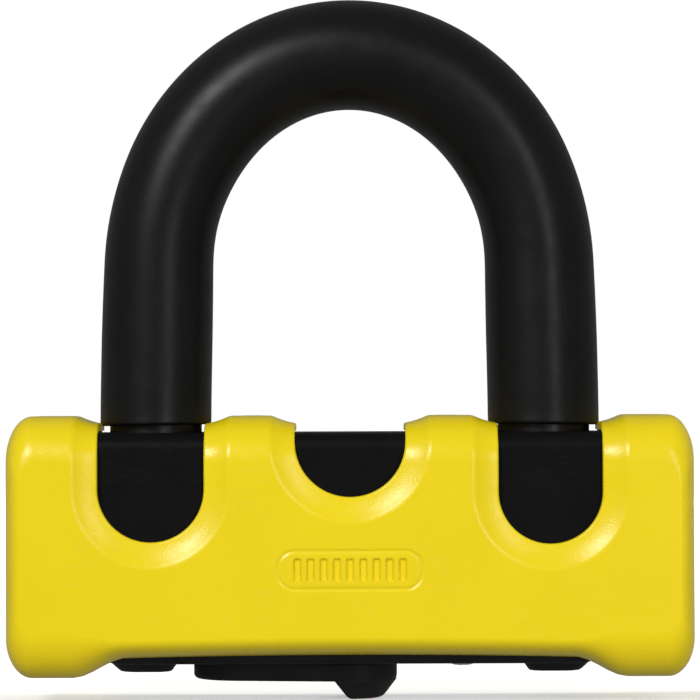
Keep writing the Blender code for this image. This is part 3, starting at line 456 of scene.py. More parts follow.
def black_plastic(name, shade, shine, rough, grain_size, grain_depth):
    look = Look(name, Specular_IOR_Level=shine, IOR=1.45)
    clouds = look.spread(look.noise(8 * MM, detail=3.0), 0.3, 0.7, 0, 1)
    dark = (shade * 0.85, shade * 0.85, shade * 0.88)
    pale = (shade * 1.2, shade * 1.2, shade * 1.25)
    colour = look.mix(clouds, dark, pale)
    marks = scratches(look, 0.06 * MM, 2.5 * MM, 0)
    colour = look.mix(look.math("MULTIPLY", marks, 0.5), colour, (0.02, 0.02, 0.021))
    look.set("Base Color", colour)
    grain = look.noise(grain_size, detail=2.0, roughness=0.6)
    soft = look.spread(look.noise(1.2 * MM, detail=2.0), 0.3, 0.7, rough - 0.05, rough + 0.05)
    look.set("Roughness", soft)
    look.bump((grain, grain_depth), (marks, -0.004 * MM))
    return look.material


def sleeve_coating():
    """Thick soft satin coating, drawn along the bar."""
    look = Look("sleeve_coating", Specular_IOR_Level=0.27, IOR=1.45)
    clouds = look.spread(look.noise(11 * MM, detail=4.0), 0.3, 0.7, 0, 1)
    colour = look.mix(clouds, (0.0040, 0.0040, 0.0041), (0.0052, 0.0052, 0.0054))
    marks = scratches(look, 0.08 * MM, 4.0 * MM, 2, keep=0.68)
    colour = look.mix(look.math("MULTIPLY", marks, 0.4), colour, (0.03, 0.03, 0.031))
    look.set("Base Color", colour)
    grain = look.noise(0.3 * MM, detail=3.0, roughness=0.65)
    swell = look.noise(9 * MM, detail=2.0)
    rough = look.spread(look.noise(2.5 * MM, detail=3.0), 0.3, 0.7, 0.33, 0.41)
    look.set("Roughness", rough)
    look.bump((grain, 0.010 * MM), (swell, 0.06 * MM), (marks, -0.005 * MM))
    return look.material


def metal(name, dark, pale, rough, line_size, metallic=1.0):
    """Machined metal with fine lines, a mottled sheen and a few scratches."""
    look = Look(name, Metallic=metallic)
    clouds = look.spread(look.noise(3 * MM, detail=4.0), 0.3, 0.7, 0, 1)
    colour = look.mix(clouds, dark, pale)
    marks = scratches(look, 0.05 * MM, 1.5 * MM, 0, keep=0.64)
    look.set("Base Color", look.mix(look.math("MULTIPLY", marks, 0.4), colour, pale))
    stretch = (1 / (20 * line_size), 1 / (20 * line_size), 1 / line_size)
    lines = look.noise(1.0, detail=2.0, vector=look.stretched(stretch))
    mottle = look.spread(look.noise(0.8 * MM, detail=3.0), 0.3, 0.7, rough - 0.06, rough + 0.08)
    look.set("Roughness", mottle)
    look.bump((lines, 0.006 * MM), (look.noise(0.2 * MM), 0.002 * MM), (marks, -0.004 * MM))
    return look.material


def rubber(name):
    look = Look(name, Specular_IOR_Level=0.3)
    clouds = look.spread(look.noise(2 * MM, detail=3.0), 0.3, 0.7, 0, 1)
    look.set("Base Color", look.mix(clouds, (0.008, 0.008, 0.008), (0.013, 0.013, 0.013)))
    look.set("Roughness", look.spread(look.noise(0.6 * MM, detail=2.0), 0.3, 0.7, 0.7, 0.85))
    look.bump((look.noise(0.15 * MM, detail=2.0), 0.008 * MM))
    return look.material


def pale_floor():
    """Matt pale floor with painted light: it glows more behind the lock, over the lock's own shadow
    there, and away from it, leaving painted shade right round the lock.
    """
    look = Look("pale_floor", Specular_IOR_Level=0.0, Roughness=0.95)
    clouds = look.spread(look.noise(0.2, detail=2.0), 0.3, 0.7, 0, 1)
    look.set("Base Color", look.mix(clouds, (0.74, 0.74, 0.74), (0.76, 0.76, 0.76)))
    place = look.node("SeparateXYZ", {0: look.place})
    across = look.math("POWER", place.outputs["X"], 4.0)
    fade = look.node("Math", {0: across, 1: 600.0, 2: 0.008}, operation="MULTIPLY_ADD").outputs[0]
    # Painted light: more glow behind the lock, where the lock's shadow falls.
    behind = look.spread(look.math("DIVIDE", place.outputs["Y"], fade), -0.3, 1.0, 0.0, 0.72)
    away = look.node("VectorMath", {0: look.place}, operation="LENGTH").outputs["Value"]
    behind = look.math("MULTIPLY", behind, look.spread(away, 0.07, 0.30, 1.0, 0.0))
    # Painted shade: the glow is lowest right round the lock and rises away from it.
    painted_floor_light = look.math("MAXIMUM", behind, look.spread(away, 0.07, 0.32, 0.45, 0.80))
    painted_floor_light = look.math("ADD", painted_floor_light, look.spread(away, 0.3, 1.4, 0.0, 0.12))
    look.shader.inputs["Emission Color"].default_value = (1, 1, 1, 1)
    look.set("Emission Strength", painted_floor_light)
    return look.material


# --- Covers and jacket ------------------------------------------------------


def foot_share(x):
    """0 along the middle of the covers' lower edge, 1 at the feet, and a soft step between."""
    near, far = FOOT_RISE
    share = min(max((abs(x) - near) / (far - near), 0.0), 1.0)
    return share * share * (3 - 2 * share)


def lower_edge(x, inset):
    """Height of the covers' lower edge at a place across."""
    middle = COVER_BOTTOM - COVER_ARCH * min(abs(x) / FOOT_RISE[0], 1.0) ** 2
    low = middle + (FOOT_BOTTOM - middle) * foot_share(x)
    rounding = BOTTOM_ROUND[0] + (BOTTOM_ROUND[1] - BOTTOM_ROUND[0]) * foot_share(x)
    return low + rounding * inset


def cover_outline(inset, draft=0.0):
    """(x, z) outline of the covers. inset runs from 0 at the widest to 1 at the flat face."""
    side = HALF_WIDTH - draft - SIDE_ROUND * inset
    top = COVER_TOP - EDGE_ROUND * inset
    foot = lower_edge(FOOT_RISE[1], inset)
    shrink = 1 - CORNER_SHRINK * inset
    top_corner = (TOP_CORNER[0] * shrink, TOP_CORNER[1] * shrink)
    low_corner = (LOW_CORNER[0] * shrink, LOW_CORNER[1] * shrink)
    half = []
    for i in range(FOOT_STEPS):
        x = FOOT_RISE[1] * i / FOOT_STEPS
        half.append((x, lower_edge(x, inset)))
    half.append((FOOT_RISE[1], foot))
    for turn in quarter(BEND_STEPS, 270, 360):
        x = side - low_corner[0] * (1 - math.cos(turn))
        half.append((x, foot + low_corner[1] * (1 + math.sin(turn))))
    for turn in quarter(BEND_STEPS):
        x = side - top_corner[0] * (1 - math.cos(turn))
        half.append((x, top - top_corner[1] * (1 - math.sin(turn))))
    half.append((0.0, top))
    return half + [(-x, z) for x, z in half[-2:0:-1]]


def cover_body(name):
    """Front half of the covers' outer shape, with its edge at the seam slightly rounded."""
    start = HALF_DEPTH - EDGE_ROUND
    levels = [(HALF_SEAM, SEAM_ROUND), (HALF_SEAM + 0.07 * MM, SEAM_ROUND / 3)]
    levels += [(HALF_SEAM + 0.3 * MM, 0.0)]
    for turn in quarter(BEND_STEPS):
        levels.append((start + EDGE_ROUND * math.sin(turn), 1 - math.cos(turn)))
    rings = []
    for y, inset in levels:
        draft = SIDE_DRAFT * min(y / start, 1.0)
        rings.append([(x, -y, z) for x, z in cover_outline(inset, draft)])
    return loft(name, rings)


def jacket_outline(grow, inset):
    """(x, z) outline of the jacket, grown all round, and pulled in by inset at a rounding."""
    side = jacket_high.x + grow - inset
    top = JACKET_TOP + grow - inset
    bottom = jacket_low.z - grow
    half = [(0.0, bottom), (side, bottom)]
    for turn in quarter(BEND_STEPS):
        x = side - (JACKET_CORNER[0] + grow) * (1 - math.cos(turn))
        half.append((x, top - (JACKET_CORNER[1] + grow) * (1 - math.sin(turn))))
    half.append((0.0, top))
    return half + [(-x, z) for x, z in half[-2:0:-1]]


def jacket_body(name, grow):
    rounding = JACKET_ROUND + grow
    depth = jacket_high.y + grow
    turns = quarter(BEND_STEPS)
    levels = [(-depth + rounding * (1 - math.sin(t)), 1 - math.cos(t)) for t in turns]
    levels = list(reversed(levels)) + [(-y, inset) for y, inset in levels]
    rings = [
        [(x, y, z) for x, z in jacket_outline(grow, inset * rounding)] for y, inset in levels
    ]
    return loft(name, rings)


def rim_levels():
    """(depth below the surface, distance outside the opening) down a scallop's rim.

    The rim is steepest just inside its outer edge and flattens towards the rounded lip.
    """
    crease = RIM_CREASE
    outer, lip = math.tan(RIM_SLOPES[0]), math.tan(RIM_SLOPES[1])
    width = RIM_WIDTH - LIP_ROUND
    points = [(-PAST / 4, RIM_WIDTH + crease), (-RIM_SKIM, RIM_WIDTH + crease)]
    depth, before = -RIM_SKIM, crease
    for i in range(1, CREASE_STEPS + 1):
        away = crease - 2 * crease * i / CREASE_STEPS
        share = (crease - away) / (2 * crease)
        depth += (before - away) * outer * min(share + 0.06, 1.0)
        before = away
        points.append((depth, RIM_WIDTH + away))
    for i in range(1, RIM_STEPS + 1):
        away = RIM_WIDTH - crease - (width - crease) * i / RIM_STEPS
        slope = outer + (lip - outer) * (i / RIM_STEPS)
        depth += (width - crease) / RIM_STEPS * slope
        points.append((depth, away))
    for turn in quarter(8, math.degrees(RIM_SLOPES[1]), 90)[1:]:
        fall = LIP_ROUND * (math.cos(RIM_SLOPES[1]) - math.cos(turn))
        points.append((depth + fall, LIP_ROUND * (1 - math.sin(turn))))
    points.append((COVER_WALL + PAST / 2, 0.0))
    return points


def scallop_loop(scallop, below, extra):
    """A closed line at a depth below the covers' surface, round a scallop's front and back."""
    across, height, radius = scallop
    start, bend = COVER_TOP - EDGE_ROUND, EDGE_ROUND - below
    above_start = max(height - start, 0.0)
    first = math.degrees(math.asin(min(above_start / bend, 1.0)))
    depth_at = HALF_DEPTH - EDGE_ROUND
    rise = []
    for turn in quarter(BEND_STEPS, first, 90):
        rise.append((depth_at + bend * math.cos(turn), start + bend * math.sin(turn)))
    if above_start:
        del rise[0]  # the bottom's own end is already there
    over = [(-depth, z) for depth, z in rise] + [(depth, z) for depth, z in reversed(rise)]
    front = []
    for turn in quarter(SCALLOP_STEPS, 180, 360):
        x = across + (radius + extra) * math.cos(turn)
        z = height + (radius + extra) * math.sin(turn)
        reach = min(max(z - start, 0.0), bend)
        front.append((x, -depth_at - math.sqrt(bend * bend - reach * reach), z))
    back = [(x, -y, z) for x, y, z in reversed(front)]
    right, left = across + radius + extra, across - radius - extra
    up_right = [(right, y, z) for y, z in over]
    up_left = [(left, y, z) for y, z in reversed(over)]
    return front + up_right + back + up_left


def add_cap(bm, arc):
    """Level strips across an arc, so that the cap follows the surface as it bends."""
    last = len(arc) - 1
    for i in range(last // 2):
        corners = [arc[i], arc[i + 1], arc[last - i]]
        if last - i - 1 > i + 1:
            corners.insert(2, arc[last - i - 1])
        bm.faces.new(corners)


def add_scallop(bm, scallop):
    """Cutter for a scallop, which follows the surface up the front, over and down the back."""
    lines = [scallop_loop(scallop, below, extra) for below, extra in rim_levels()]
    loops = [[bm.verts.new(point) for point in line] for line in lines]
    count = len(loops[0])
    for outer, inner in zip(loops, loops[1:]):
        for i in range(count):
            after = (i + 1) % count
            bm.faces.new((outer[i], outer[after], inner[after], inner[i]))
    bottom = SCALLOP_STEPS + 1
    half = count // 2
    for loop in (loops[0], loops[-1]):
        add_cap(bm, loop[:bottom])
        add_cap(bm, loop[half : half + bottom])
        rights = loop[bottom - 1 : half + 1]
        lefts = [loop[0]] + list(reversed(loop[half + bottom - 1 :]))
        for i in range(len(rights) - 1):
            bm.faces.new((rights[i], rights[i + 1], lefts[i + 1], lefts[i]))


def scallop_cutters(right, extra):
    """One cutter for all three scallops."""
    bm = bmesh.new()
    for side, scallop in ((-1, LEG_SCALLOP), (1, MIDDLE_SCALLOP), (1, right)):
        across, height, radius = scallop
        add_scallop(bm, (side * across, height, radius + extra))
    return finish_mesh("scallop_cutters", bm)


def add_groove(bm, face):
    """Cutter for the soft groove round the panel."""
    half_width, half_height = PANEL_SIZE[0] / 2, PANEL_SIZE[1] / 2
    section = list(GROOVE) + [(-across, below) for across, below in GROOVE[-2::-1]]
    section += [(-GROOVE[0][0], -PAST), (GROOVE[0][0], -PAST)]
    loops = []
    for across, below in section:
        corner = PANEL_CORNER + across
        size = (half_width + across, half_height + across)
        outline = rounded_rectangle(*size, corner, 16, (0.0, PANEL_HEIGHT))
        loops.append([bm.verts.new((x, face + below, z)) for x, z in outline])
    for near, far in zip(loops, loops[1:] + loops[:1]):
        for i in range(len(near)):
            after = (i + 1) % len(near)
            bm.faces.new((near[i], near[after], far[after], far[i]))


def add_slot(bm, middle, face):
    """Cutter for one upright slot in the panel, with its upper edge rounded over."""
    levels = [(-PAST, SLOT_EDGE)]
    for turn in quarter(5):
        levels.append((SLOT_EDGE * math.sin(turn), SLOT_EDGE * math.cos(turn)))
    levels.append((SLOT_DEPTH, -SLOT_EDGE / 2))
    loops = []
    for below, grow in levels:
        size = (SLOT_SIZE[0] / 2 + grow, SLOT_SIZE[1] / 2 + grow)
        outline = rounded_rectangle(*size, size[0] * 0.6, 6, (middle, PANEL_HEIGHT))
        loops.append([bm.verts.new((x, face + below, z)) for x, z in outline])
    for near, far in zip(loops, loops[1:]):
        for i in range(len(near)):
            after = (i + 1) % len(near)
            bm.faces.new((near[i], near[after], far[after], far[i]))
    bm.faces.new(loops[0])
    bm.faces.new(loops[-1])


def grip_panel(shell):
    """Lozenge panel on the front: a soft groove all round it and a row of upright slots."""
    bm = bmesh.new()
    add_groove(bm, -HALF_DEPTH)
    for i in range(SLOT_COUNT):
        add_slot(bm, (i - (SLOT_COUNT - 1) / 2) * SLOT_PITCH, -HALF_DEPTH)
    return cut(shell, finish_mesh("grip_panel", bm))


def half_cover(name, face, look):
    """One of the two yellow half shells. face is -1 for the front one and 1 for the back one."""
    shell = cover_body(name)
    cut(shell, jacket_body("cavity", CAVITY_GAP))
    if face < 0:
        cut(shell, scallop_cutters(RIGHT_SCALLOP, 0.0))
    else:
        cut(shell, scallop_cutters(LEG_SCALLOP, REAR_EXTRA))
    half_width, half_depth = base_high.x + BASE_SPREAD + CAVITY_GAP, base_high.y + CAVITY_GAP
    opening = rounded_rectangle(half_width, half_depth, BASE_CORNER)
    cut(shell, prism("base_opening", opening, 0.0, jacket_low.z + PAST))
    if face < 0:
        grip_panel(shell)
    else:
        shell.data.transform(Matrix.Rotation(math.pi, 4, "Z"))
    shade_round(shell)
    node = "cover_front" if face < 0 else "cover_rear"
    return place(shell, "lock_body", look, "cover_plastic", node)


def jacket(look):
    """Black plastic cap over the case."""
    cap = jacket_body("visual_jacket", 0.0)
    wall = JACKET_WALL
    low = (jacket_low.x + wall, jacket_low.y + wall, jacket_low.z - PAST)
    high = (jacket_high.x - wall, jacket_high.y - wall, jacket_high.z - wall)
    cut(cap, block("case_space", low, high))
    for side in (-1, 1):
        centre = (side * LEG_REACH, 0)
        cut(cap, rod("leg_hole", LEG_HOLE, high[2] - PAST, COVER_TOP, centre=centre))
    soften_edges(cap, 0.2 * MM, 2)
    return place(cap, "lock_body", look, "black_plastic", "jacket")


# --- Base plate, screws and keyhole cover -------------------------------------


def flared(name, radius, low, high, centre=(0, 0), soft=HOLE_EDGE):
    """Cutter for a round hole from below whose mouth is rounded over."""
    profile = [(radius + soft, low - PAST)]
    for turn in quarter(5):
        profile.append((radius + soft * (1 - math.sin(turn)), low + soft * (1 - math.cos(turn))))
    profile.append((radius, high))
    return turned(name, profile, centre)


def foot_pad(side):
    """Low pad under one end of the base plate, sloping all round, with soft edges."""
    levels = [(BASE_BOTTOM + PAD_ROOT, 0.0)]
    levels += [(PAD_BOTTOM + above, share) for above, share in PAD_LEVELS]
    rings = []
    for level, share in levels:
        near = PAD_ENDS[0] + PAD_SLOPES[0] * share
        far = PAD_ENDS[1] - PAD_SLOPES[1] * share
        half_depth = PAD_HALF_DEPTH - PAD_SLOPES[0] * share
        centre = (side * (near + far) / 2, 0)
        outline = rounded_rectangle((far - near) / 2, half_depth, PAD_CORNER, 8, centre)
        rings.append([(x, y, level) for x, y in outline])
    return loft("foot_pad", rings)


def base_plate(look):
    """Black plate that closes the body from below, with a low pad at each end."""
    half_width, half_depth = base_high.x + BASE_SPREAD, base_high.y
    levels = []
    for turn in reversed(quarter(6)):
        levels.append((BASE_BOTTOM + BASE_EDGE * (1 - math.sin(turn)), 1 - math.cos(turn)))
    levels.append((base_high.z, 0.0))
    rings = []
    for level, share in levels:
        trim = BASE_EDGE * share
        outline = rounded_rectangle(half_width - trim, half_depth - trim, BASE_CORNER - trim)
        rings.append([(x, y, level) for x, y in outline])
    plate = loft("visual_base_plate", rings)
    join(plate, foot_pad(-1), foot_pad(1))
    above = base_high.z + PAST
    screw, pivot = (SCREW_REACH, 0), (-SCREW_REACH, 0)
    head_seat = SCREW_HEAD_RADIUS + HEAD_GAP
    washer_seat = (washer_high.x - washer_low.x) / 2 + SHANK_GAP
    cut(plate, flared("keyhole", KEYHOLE_RADIUS, BASE_BOTTOM, above, soft=2 * HOLE_EDGE))
    cut(plate, flared("screw_seat", head_seat, BASE_BOTTOM, SCREW_HEAD_TOP, screw))
    cut(plate, rod("screw_hole", SCREW_RADIUS + SHANK_GAP, 0.0, above, centre=screw))
    cut(plate, flared("washer_seat", washer_seat, BASE_BOTTOM, washer_high.z, pivot))
    cut(plate, rod("pivot_hole", PIVOT_RADIUS + PIVOT_GAP, 0.0, above, centre=pivot))
    shade_round(plate)
    return place(plate, "lock_body", look, "black_plastic", "base_plate")


def hex_recess(across, bottom):
    """Cutters for a driver's hexagonal socket and its chamfered mouth."""
    centre = (across, 0)
    mouth = [(HEX_RADIUS * 1.15, bottom - PAST), (HEX_RADIUS * 1.15, bottom)]
    mouth.append((HEX_RADIUS * 0.8, bottom + HEX_RADIUS * 0.3))
    return (
        rod("socket", HEX_RADIUS, bottom - PAST, bottom + HEX_DEPTH, centre=centre, steps=6),
        turned("mouth", mouth, centre),
    )


def base_screw(look):
    """Domed screw through the base plate into the case."""
    bottom, top = SCREW_HEAD_BOTTOM, screw_high.z
    dome = (SCREW_HEAD_TOP - bottom) / 2
    profile = []
    for turn in quarter(14, 6, 90):
        radius = SCREW_HEAD_RADIUS * math.sin(turn)
        profile.append((radius, bottom + dome * (1 - math.cos(turn))))
    profile += [(SCREW_HEAD_RADIUS, SCREW_HEAD_TOP), (SCREW_RADIUS, SCREW_HEAD_TOP)]
    profile += [(SCREW_RADIUS, top - SCREW_CHAMFER), (SCREW_RADIUS - SCREW_CHAMFER, top)]
    screw = turned("visual_base_screw", profile, (SCREW_REACH, 0))
    cut(screw, *hex_recess(SCREW_REACH, bottom))
    soften_edges(screw, SCREW_EDGE, 2)
    return place(screw, "lock_body", look, "bright_steel", "base_screw")


def pivot_screw(look):
    """Shouldered screw that the keyhole cover swings on, with its head sunk in the cover."""
    bottom, top = pivot_low.z, pivot_high.z
    profile = [
        (PIVOT_HEAD_RADIUS - 0.3 * MM, bottom),
        (PIVOT_HEAD_RADIUS - 0.1 * MM, bottom + 0.08 * MM),
        (PIVOT_HEAD_RADIUS, bottom + 0.3 * MM),
        (PIVOT_HEAD_RADIUS, PIVOT_HEAD_TOP),
        (PIVOT_RADIUS, PIVOT_HEAD_TOP),
        (PIVOT_RADIUS, base_high.z),
        (SCREW_RADIUS, base_high.z),
        (SCREW_RADIUS, top - SCREW_CHAMFER),
        (SCREW_RADIUS - SCREW_CHAMFER, top),
    ]
    screw = turned("visual_pivot_screw", profile, (-SCREW_REACH, 0))
    cut(screw, *hex_recess(-SCREW_REACH, bottom))
    soften_edges(screw, SCREW_EDGE, 2)
    return place(screw, "lock_body", look, "bright_steel", "pivot_screw")


def leg_seal(name, side, look):
    """Rubber ring round a leg, with a rounded lip at its bore."""
    profile = [
        (SEAL_BORE, seal_low.z),
        (SEAL_RADIUS, seal_low.z),
        (SEAL_RADIUS, seal_high.z - 0.3 * MM),
        (SEAL_RADIUS - 0.3 * MM, seal_high.z),
    ]
    for turn in reversed(quarter(6)):
        radius = SEAL_BORE + SEAL_LIP * (1 - math.cos(turn))
        profile.append((radius, seal_high.z - SEAL_LIP * (1 - math.sin(turn))))
    ring = turned("visual_" + name, profile, (side * LEG_REACH, 0), closed=True)
    shade_round(ring)
    return place(ring, "lock_body", look, "seal_rubber", name)


def shutter_outline(trim):
    """Outline of the keyhole cover's plate: two round ends and the lines that touch both."""
    near, far = SHUTTER_PIVOT_RADIUS - trim, SHUTTER_END_RADIUS - trim
    lean = math.degrees(math.asin((far - near) / SCREW_REACH))
    free_end = quarter(ROUND_STEPS // 2, -90 - lean, 90 + lean)
    pivot_end = quarter(ROUND_STEPS // 2, 90 + lean, 270 - lean)
    outline = [(far * math.cos(t), far * math.sin(t)) for t in free_end]
    return outline + [(near * math.cos(t) - SCREW_REACH, near * math.sin(t)) for t in pivot_end]


def knob_outline(radius, heel):
    """A round end with a flat heel, square to the cover's length."""
    half = math.degrees(math.acos(heel / radius))
    turns = quarter(ROUND_STEPS // 2, -half, half)
    return [(radius * math.cos(t), radius * math.sin(t)) for t in turns]


def shutter_levels():
    """(share of the way up, trim) from the cover's underside to its upper face."""
    tall = SHUTTER_TOP - SHUTTER_BOTTOM[0]
    levels = []
    for turn in reversed(quarter(8)):
        rise = SHUTTER_EDGE * (1 - math.sin(turn))
        levels.append((rise / tall, SHUTTER_EDGE * (1 - math.cos(turn))))
    for turn in quarter(4):
        rise = SHUTTER_EDGE / 2 * (1 - math.sin(turn))
        levels.append((1 - rise / tall, SHUTTER_EDGE / 2 * (1 - math.cos(turn))))
    return levels


def keyhole_cover(look):
    """Swinging plate over the keyhole, with a knob for the thumb under its free end."""
    pivot_end, free_end = -SCREW_REACH - SHUTTER_PIVOT_RADIUS, SHUTTER_END_RADIUS
    rings = []
    for up, trim in shutter_levels():
        ring = []
        for x, y in shutter_outline(trim):
            along = (x - pivot_end) / (free_end - pivot_end)
            under = SHUTTER_BOTTOM[0] + (SHUTTER_BOTTOM[1] - SHUTTER_BOTTOM[0]) * along
            ring.append((x, y, under + (SHUTTER_TOP - under) * up))
        rings.append(ring)
    plate = loft("visual_keyhole_cover", rings)
    levels = ((KNOB_TOP, KNOB_LEVELS[0][1], KNOB_LEVELS[0][2]),) + KNOB_LEVELS
    rings = [[(x, y, z) for x, y in knob_outline(radius, heel)] for z, radius, heel in levels]
    join(plate, loft("knob", rings))
    pivot = (-SCREW_REACH, 0)
    head_seat = PIVOT_HEAD_RADIUS + HEAD_GAP
    seat_top = PIVOT_HEAD_TOP + HEAD_GAP
    cut(plate, flared("head_seat", head_seat, SHUTTER_BOTTOM[0], seat_top, pivot))
    cut(plate, rod("pivot_hole", PIVOT_RADIUS + PIVOT_GAP, 0.0, base_high.z, centre=pivot))
    soften_edges(plate, 0.2 * MM, 3, 50)
    return place(plate, "keyhole_shutter", look, "black_plastic", "keyhole_cover")


# --- Shackle ----------------------------------------------------------------


def centre_line(start):
    """(x, z) points up one leg, over the arch and down the other, about a millimetre apart."""
    step = 1.0 * MM
    spring = ARCH_TOP - ARCH_RISE
    lean = LEG_REACH - ARCH_HALF_WIDTH
    rising = int((spring - start) / step)
    half = []
    for i in range(rising):
        z = start + (spring - start) * i / rising
        share = max(z - LEAN_FROM, 0.0) / (spring - LEAN_FROM)
        half.append((LEG_REACH - lean * share**LEAN_POWER, z))
    for turn in quarter(ARCH_STEPS):
        x = ARCH_HALF_WIDTH * math.cos(turn)
        half.append((x, spring + ARCH_RISE * math.sin(turn)))
    line = half + [(-x, z) for x, z in half[-2::-1]]
    for _ in range(4):
        middle = [
            ((a[0] + 2 * b[0] + c[0]) / 4, (a[1] + 2 * b[1] + c[1]) / 4)
            for a, b, c in zip(line, line[1:], line[2:])
        ]
        line = [line[0]] + middle + [line[-1]]
    return line


def stations(line):
    """(centre, outward normal, along) at each point of a centre line."""
    placed = []
    for i, (x, z) in enumerate(line):
        before, after = line[max(i - 1, 0)], line[min(i + 1, len(line) - 1)]
        along = Vector((after[0] - before[0], 0, after[1] - before[1])).normalized()
        placed.append((Vector((x, 0, z)), Vector((along.z, 0, -along.x)), along))
    return placed


def hoop(station, radius, thin=0.0, shift=0.0):
    """A ring square to the shackle's centre line, thinned in the arch's plane."""
    centre, normal, along = station
    points = []
    for u, v in circle(radius):
        scale = (radius - thin) / radius
        points.append(centre + normal * (u * scale) + Vector((0, v, 0)) + along * shift)
    return points


def shoulder(station):
    """How much thinner the sleeve is at a place along the shackle."""
    centre = station[0]
    spring = ARCH_TOP - ARCH_RISE
    angle = math.degrees(math.atan2(centre.z - spring, abs(centre.x)))
    down_leg = min(max((spring - centre.z) / SWELL_OVER, 0.0), 1.0)
    from_thinnest = (angle - SHOULDER_AT[0]) / SHOULDER_AT[1]
    return SHOULDER_THIN * math.exp(-(from_thinnest**2)) - LEG_SWELL * down_leg


def tilted(station, angle):
    """A station turned a little, for an end that isn't level."""
    centre, normal, along = station
    cosine, sine = math.cos(angle), math.sin(angle)
    return centre, normal * cosine + along * sine, along * cosine - normal * sine


def shackle_sleeve(look):
    line = stations(centre_line(sleeve_low.z + 0.05 * MM))
    line[0] = tilted(line[0], END_TILT)
    line[1] = tilted(line[1], END_TILT / 2)
    line[-1] = tilted(line[-1], -END_TILT)
    line[-2] = tilted(line[-2], -END_TILT / 2)
    inner = BAR_RADIUS + SLEEVE_FIT
    rings = []
    full = SLEEVE_RADIUS + LEG_SWELL
    for turn in quarter(6):
        radius = full - SLEEVE_EDGE * (1 - math.sin(turn))
        rings.append(hoop(line[0], radius, shift=SLEEVE_EDGE * (1 - math.cos(turn))))
    rings += [hoop(s, SLEEVE_RADIUS, shoulder(s)) for s in line[1:-1]]
    for turn in reversed(quarter(6)):
        radius = full - SLEEVE_EDGE * (1 - math.sin(turn))
        rings.append(hoop(line[-1], radius, shift=-SLEEVE_EDGE * (1 - math.cos(turn))))
    rings += [hoop(s, inner) for s in reversed(line)]
    sleeve = loft("visual_shackle_sleeve", rings, closed=True)
    shade_round(sleeve, 50)
    return place(sleeve, "shackle", look, "sleeve", "shackle_sleeve")


def shackle_bar(look):
    line = stations(centre_line(bar_low.z + TIP_CHAMFER))
    tip = BAR_RADIUS - TIP_CHAMFER
    rings = [hoop(line[0], tip - 0.3 * MM, shift=-TIP_CHAMFER)]
    rings.append(hoop(line[0], tip, shift=-TIP_CHAMFER + 0.1 * MM))
    rings += [hoop(s, BAR_RADIUS) for s in line]
    rings.append(hoop(line[-1], tip, shift=TIP_CHAMFER - 0.1 * MM))
    rings.append(hoop(line[-1], tip - 0.3 * MM, shift=TIP_CHAMFER))
    bar = loft("visual_shackle_bar", rings)
    notch_floor = LEG_REACH - BAR_RADIUS + NOTCH_DEPTH
    for side in (-1, 1):
        near, far = sorted((side * (notch_floor - BAR_RADIUS), side * notch_floor))
        low = (near, -2 * BAR_RADIUS, BOLT_HEIGHT - NOTCH_HALF_HEIGHT)
        high = (far, 2 * BAR_RADIUS, BOLT_HEIGHT + NOTCH_HALF_HEIGHT)
        cut(bar, block("bolt_notch", low, high))
    soften_edges(bar, 0.25 * MM, 3)
    return place(bar, "shackle", look, "black_steel", "shackle_bar")


# --- Stage, lights and camera ----------------------------------------------


def stage(look):
    """A wide round floor."""
    bm = bmesh.new()
    bmesh.ops.create_circle(bm, cap_ends=True, segments=ROUND_STEPS, radius=FLOOR_RADIUS)
    floor = finish_mesh("floor", bm)
    floor.location.z = FLOOR_HEIGHT
    floor.data.materials.append(look)
    floor.visible_glossy = False  # keeps the dark pieces dark at their edges
    floor.visible_diffuse = False  # and the covers' lower edges shaded


def softbox(name, at, size, power, towards=(0, 0, 0.05), shines=True):
    """A soft light, size wide and tall, that isn't seen itself."""
    light = bpy.data.lights.new(name, "AREA")
    light.shape = "RECTANGLE"
    light.size, light.size_y = size
    light.energy = power
    lamp = bpy.data.objects.new(name, light)
    lamp.location = at
    lamp.rotation_mode = "QUATERNION"
    lamp.rotation_quaternion = (Vector(towards) - Vector(at)).to_track_quat("-Z", "Y")
    lamp.visible_camera = False
    lamp.visible_glossy = shines
    bpy.context.scene.collection.objects.link(lamp)


def studio():
    """Soft lights in front, at the sides and behind, in a pale room."""
    world = bpy.data.worlds.new("studio")
    world.use_nodes = True
    tree = world.node_tree
    background = tree.nodes["Background"]
    background.inputs["Color"].default_value = (1.0, 1.0, 1.0, 1)
    path = tree.nodes.new("ShaderNodeLightPath")
    strength = tree.nodes.new("ShaderNodeMapRange")
    strength.inputs["To Min"].default_value = ROOM_LIGHT
    strength.inputs["To Max"].default_value = ROOM_PALENESS
    tree.links.new(path.outputs["Is Camera Ray"], strength.inputs["Value"])
    tree.links.new(strength.outputs[0], background.inputs["Strength"])
    bpy.context.scene.world = world
    bpy.context.scene.view_settings.view_transform = "Standard"
    softbox("left_key", (-0.50, -0.95, 0.64), (0.36, 0.36), 7.8)
    softbox("right_fill", (0.35, -1.10, 0.05), (0.6, 0.1), 4.3, (0, 0, 0.02), shines=False)
    softbox("right_strip", (0.50, -1.10, 0.30), (0.14, 0.6), 2.2)
    softbox("back_fill", (0.45, 1.10, 0.30), (0.7, 0.5), 8.5, shines=False)
    softbox("right_side", (1.15, 0.35, 0.25), (0.6, 0.5), 2.6, shines=False)
    softbox("left_side", (-1.15, 0.35, 0.25), (0.6, 0.5), 3.0, shines=False)


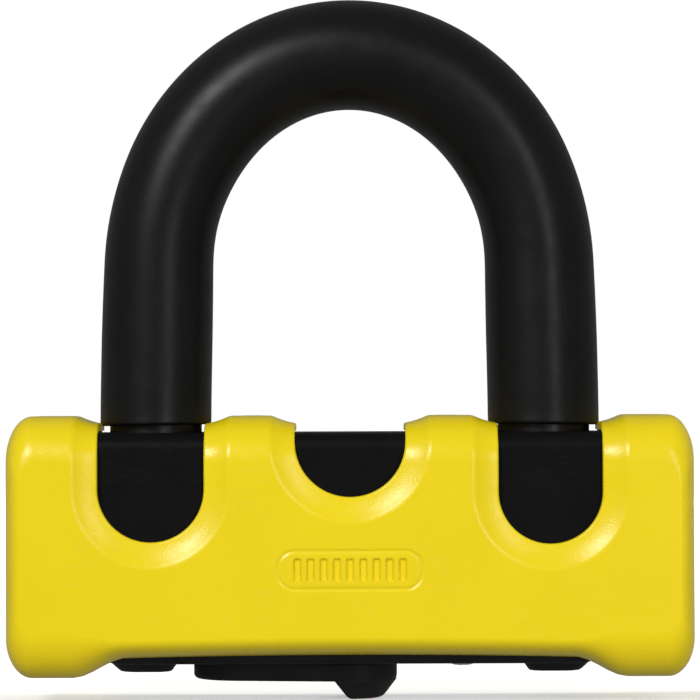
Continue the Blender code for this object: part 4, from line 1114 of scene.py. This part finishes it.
def camera():
    """A view from in front, a little above the lock's body."""
    view = bpy.data.cameras.new("camera")
    view.sensor_width = SENSOR_WIDTH
    view.lens = SENSOR_WIDTH * CAMERA_DISTANCE / VIEW_WIDTH
    view.clip_start = 0.01
    shot = bpy.data.objects.new("camera", view)
    shot.location = (CAMERA_ACROSS, -CAMERA_DISTANCE, CAMERA_EYE)
    shot.rotation_mode = "QUATERNION"
    aim = Vector((CAMERA_ACROSS, 0, CAMERA_AIM))
    look = (aim - shot.location).to_track_quat("-Z", "Y")
    shot.rotation_quaternion = look @ Quaternion((0, 0, 1), CAMERA_ROLL)
    bpy.context.scene.collection.objects.link(shot)
    bpy.context.scene.camera = shot


def dress(looks):
    """Gives every CAD node that is still shown the full look of its slot."""
    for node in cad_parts.values():
        look = looks.get(node.data.materials[0].name)
        if look:
            node.data.materials[0] = look


def main():
    yellow = yellow_plastic()
    black = black_plastic("moulded_black", 0.0045, 0.08, 0.45, 0.2 * MM, 0.006 * MM)
    # Painted light: a paler copy of the black plastic for the base plate and keyhole cover, making
    # up for the shade they sit in under the covers; its grain is coarser too.
    shade_lifted_black = black_plastic("textured_black_painted_light", 0.0105, 0.16, 0.5, 0.3 * MM, 0.01 * MM)
    half_cover("visual_cover_front", -1, yellow)
    half_cover("visual_cover_rear", 1, yellow)
    jacket(black)
    shackle_sleeve(sleeve_coating())
    oiled = ((0.008, 0.008, 0.009), (0.016, 0.016, 0.017))
    black_steel = metal("oiled_steel", *oiled, 0.33, 0.08 * MM, 0.5)
    hardened = metal("ground_steel", (0.30, 0.30, 0.31), (0.40, 0.40, 0.42), 0.34, 0.06 * MM)
    bright = metal("plated_steel", (0.52, 0.52, 0.54), (0.66, 0.66, 0.68), 0.24, 0.06 * MM)
    turned_brass = metal("turned_brass", (0.62, 0.42, 0.15), (0.76, 0.56, 0.26), 0.28, 0.06 * MM)
    seal = rubber("soft_rubber")
    shackle_bar(black_steel)
    base_plate(shade_lifted_black)
    base_screw(bright)
    pivot_screw(bright)
    leg_seal("leg_seal_left", -1, seal)
    leg_seal("leg_seal_right", 1, seal)
    keyhole_cover(shade_lifted_black)
    dress(
        {
            "black_plastic": black,
            "black_steel": black_steel,
            "hardened_steel": hardened,
            "bright_steel": bright,
            "brass": turned_brass,
            "seal_rubber": seal,
        }
    )
    stage(pale_floor())
    studio()
    camera()


main()
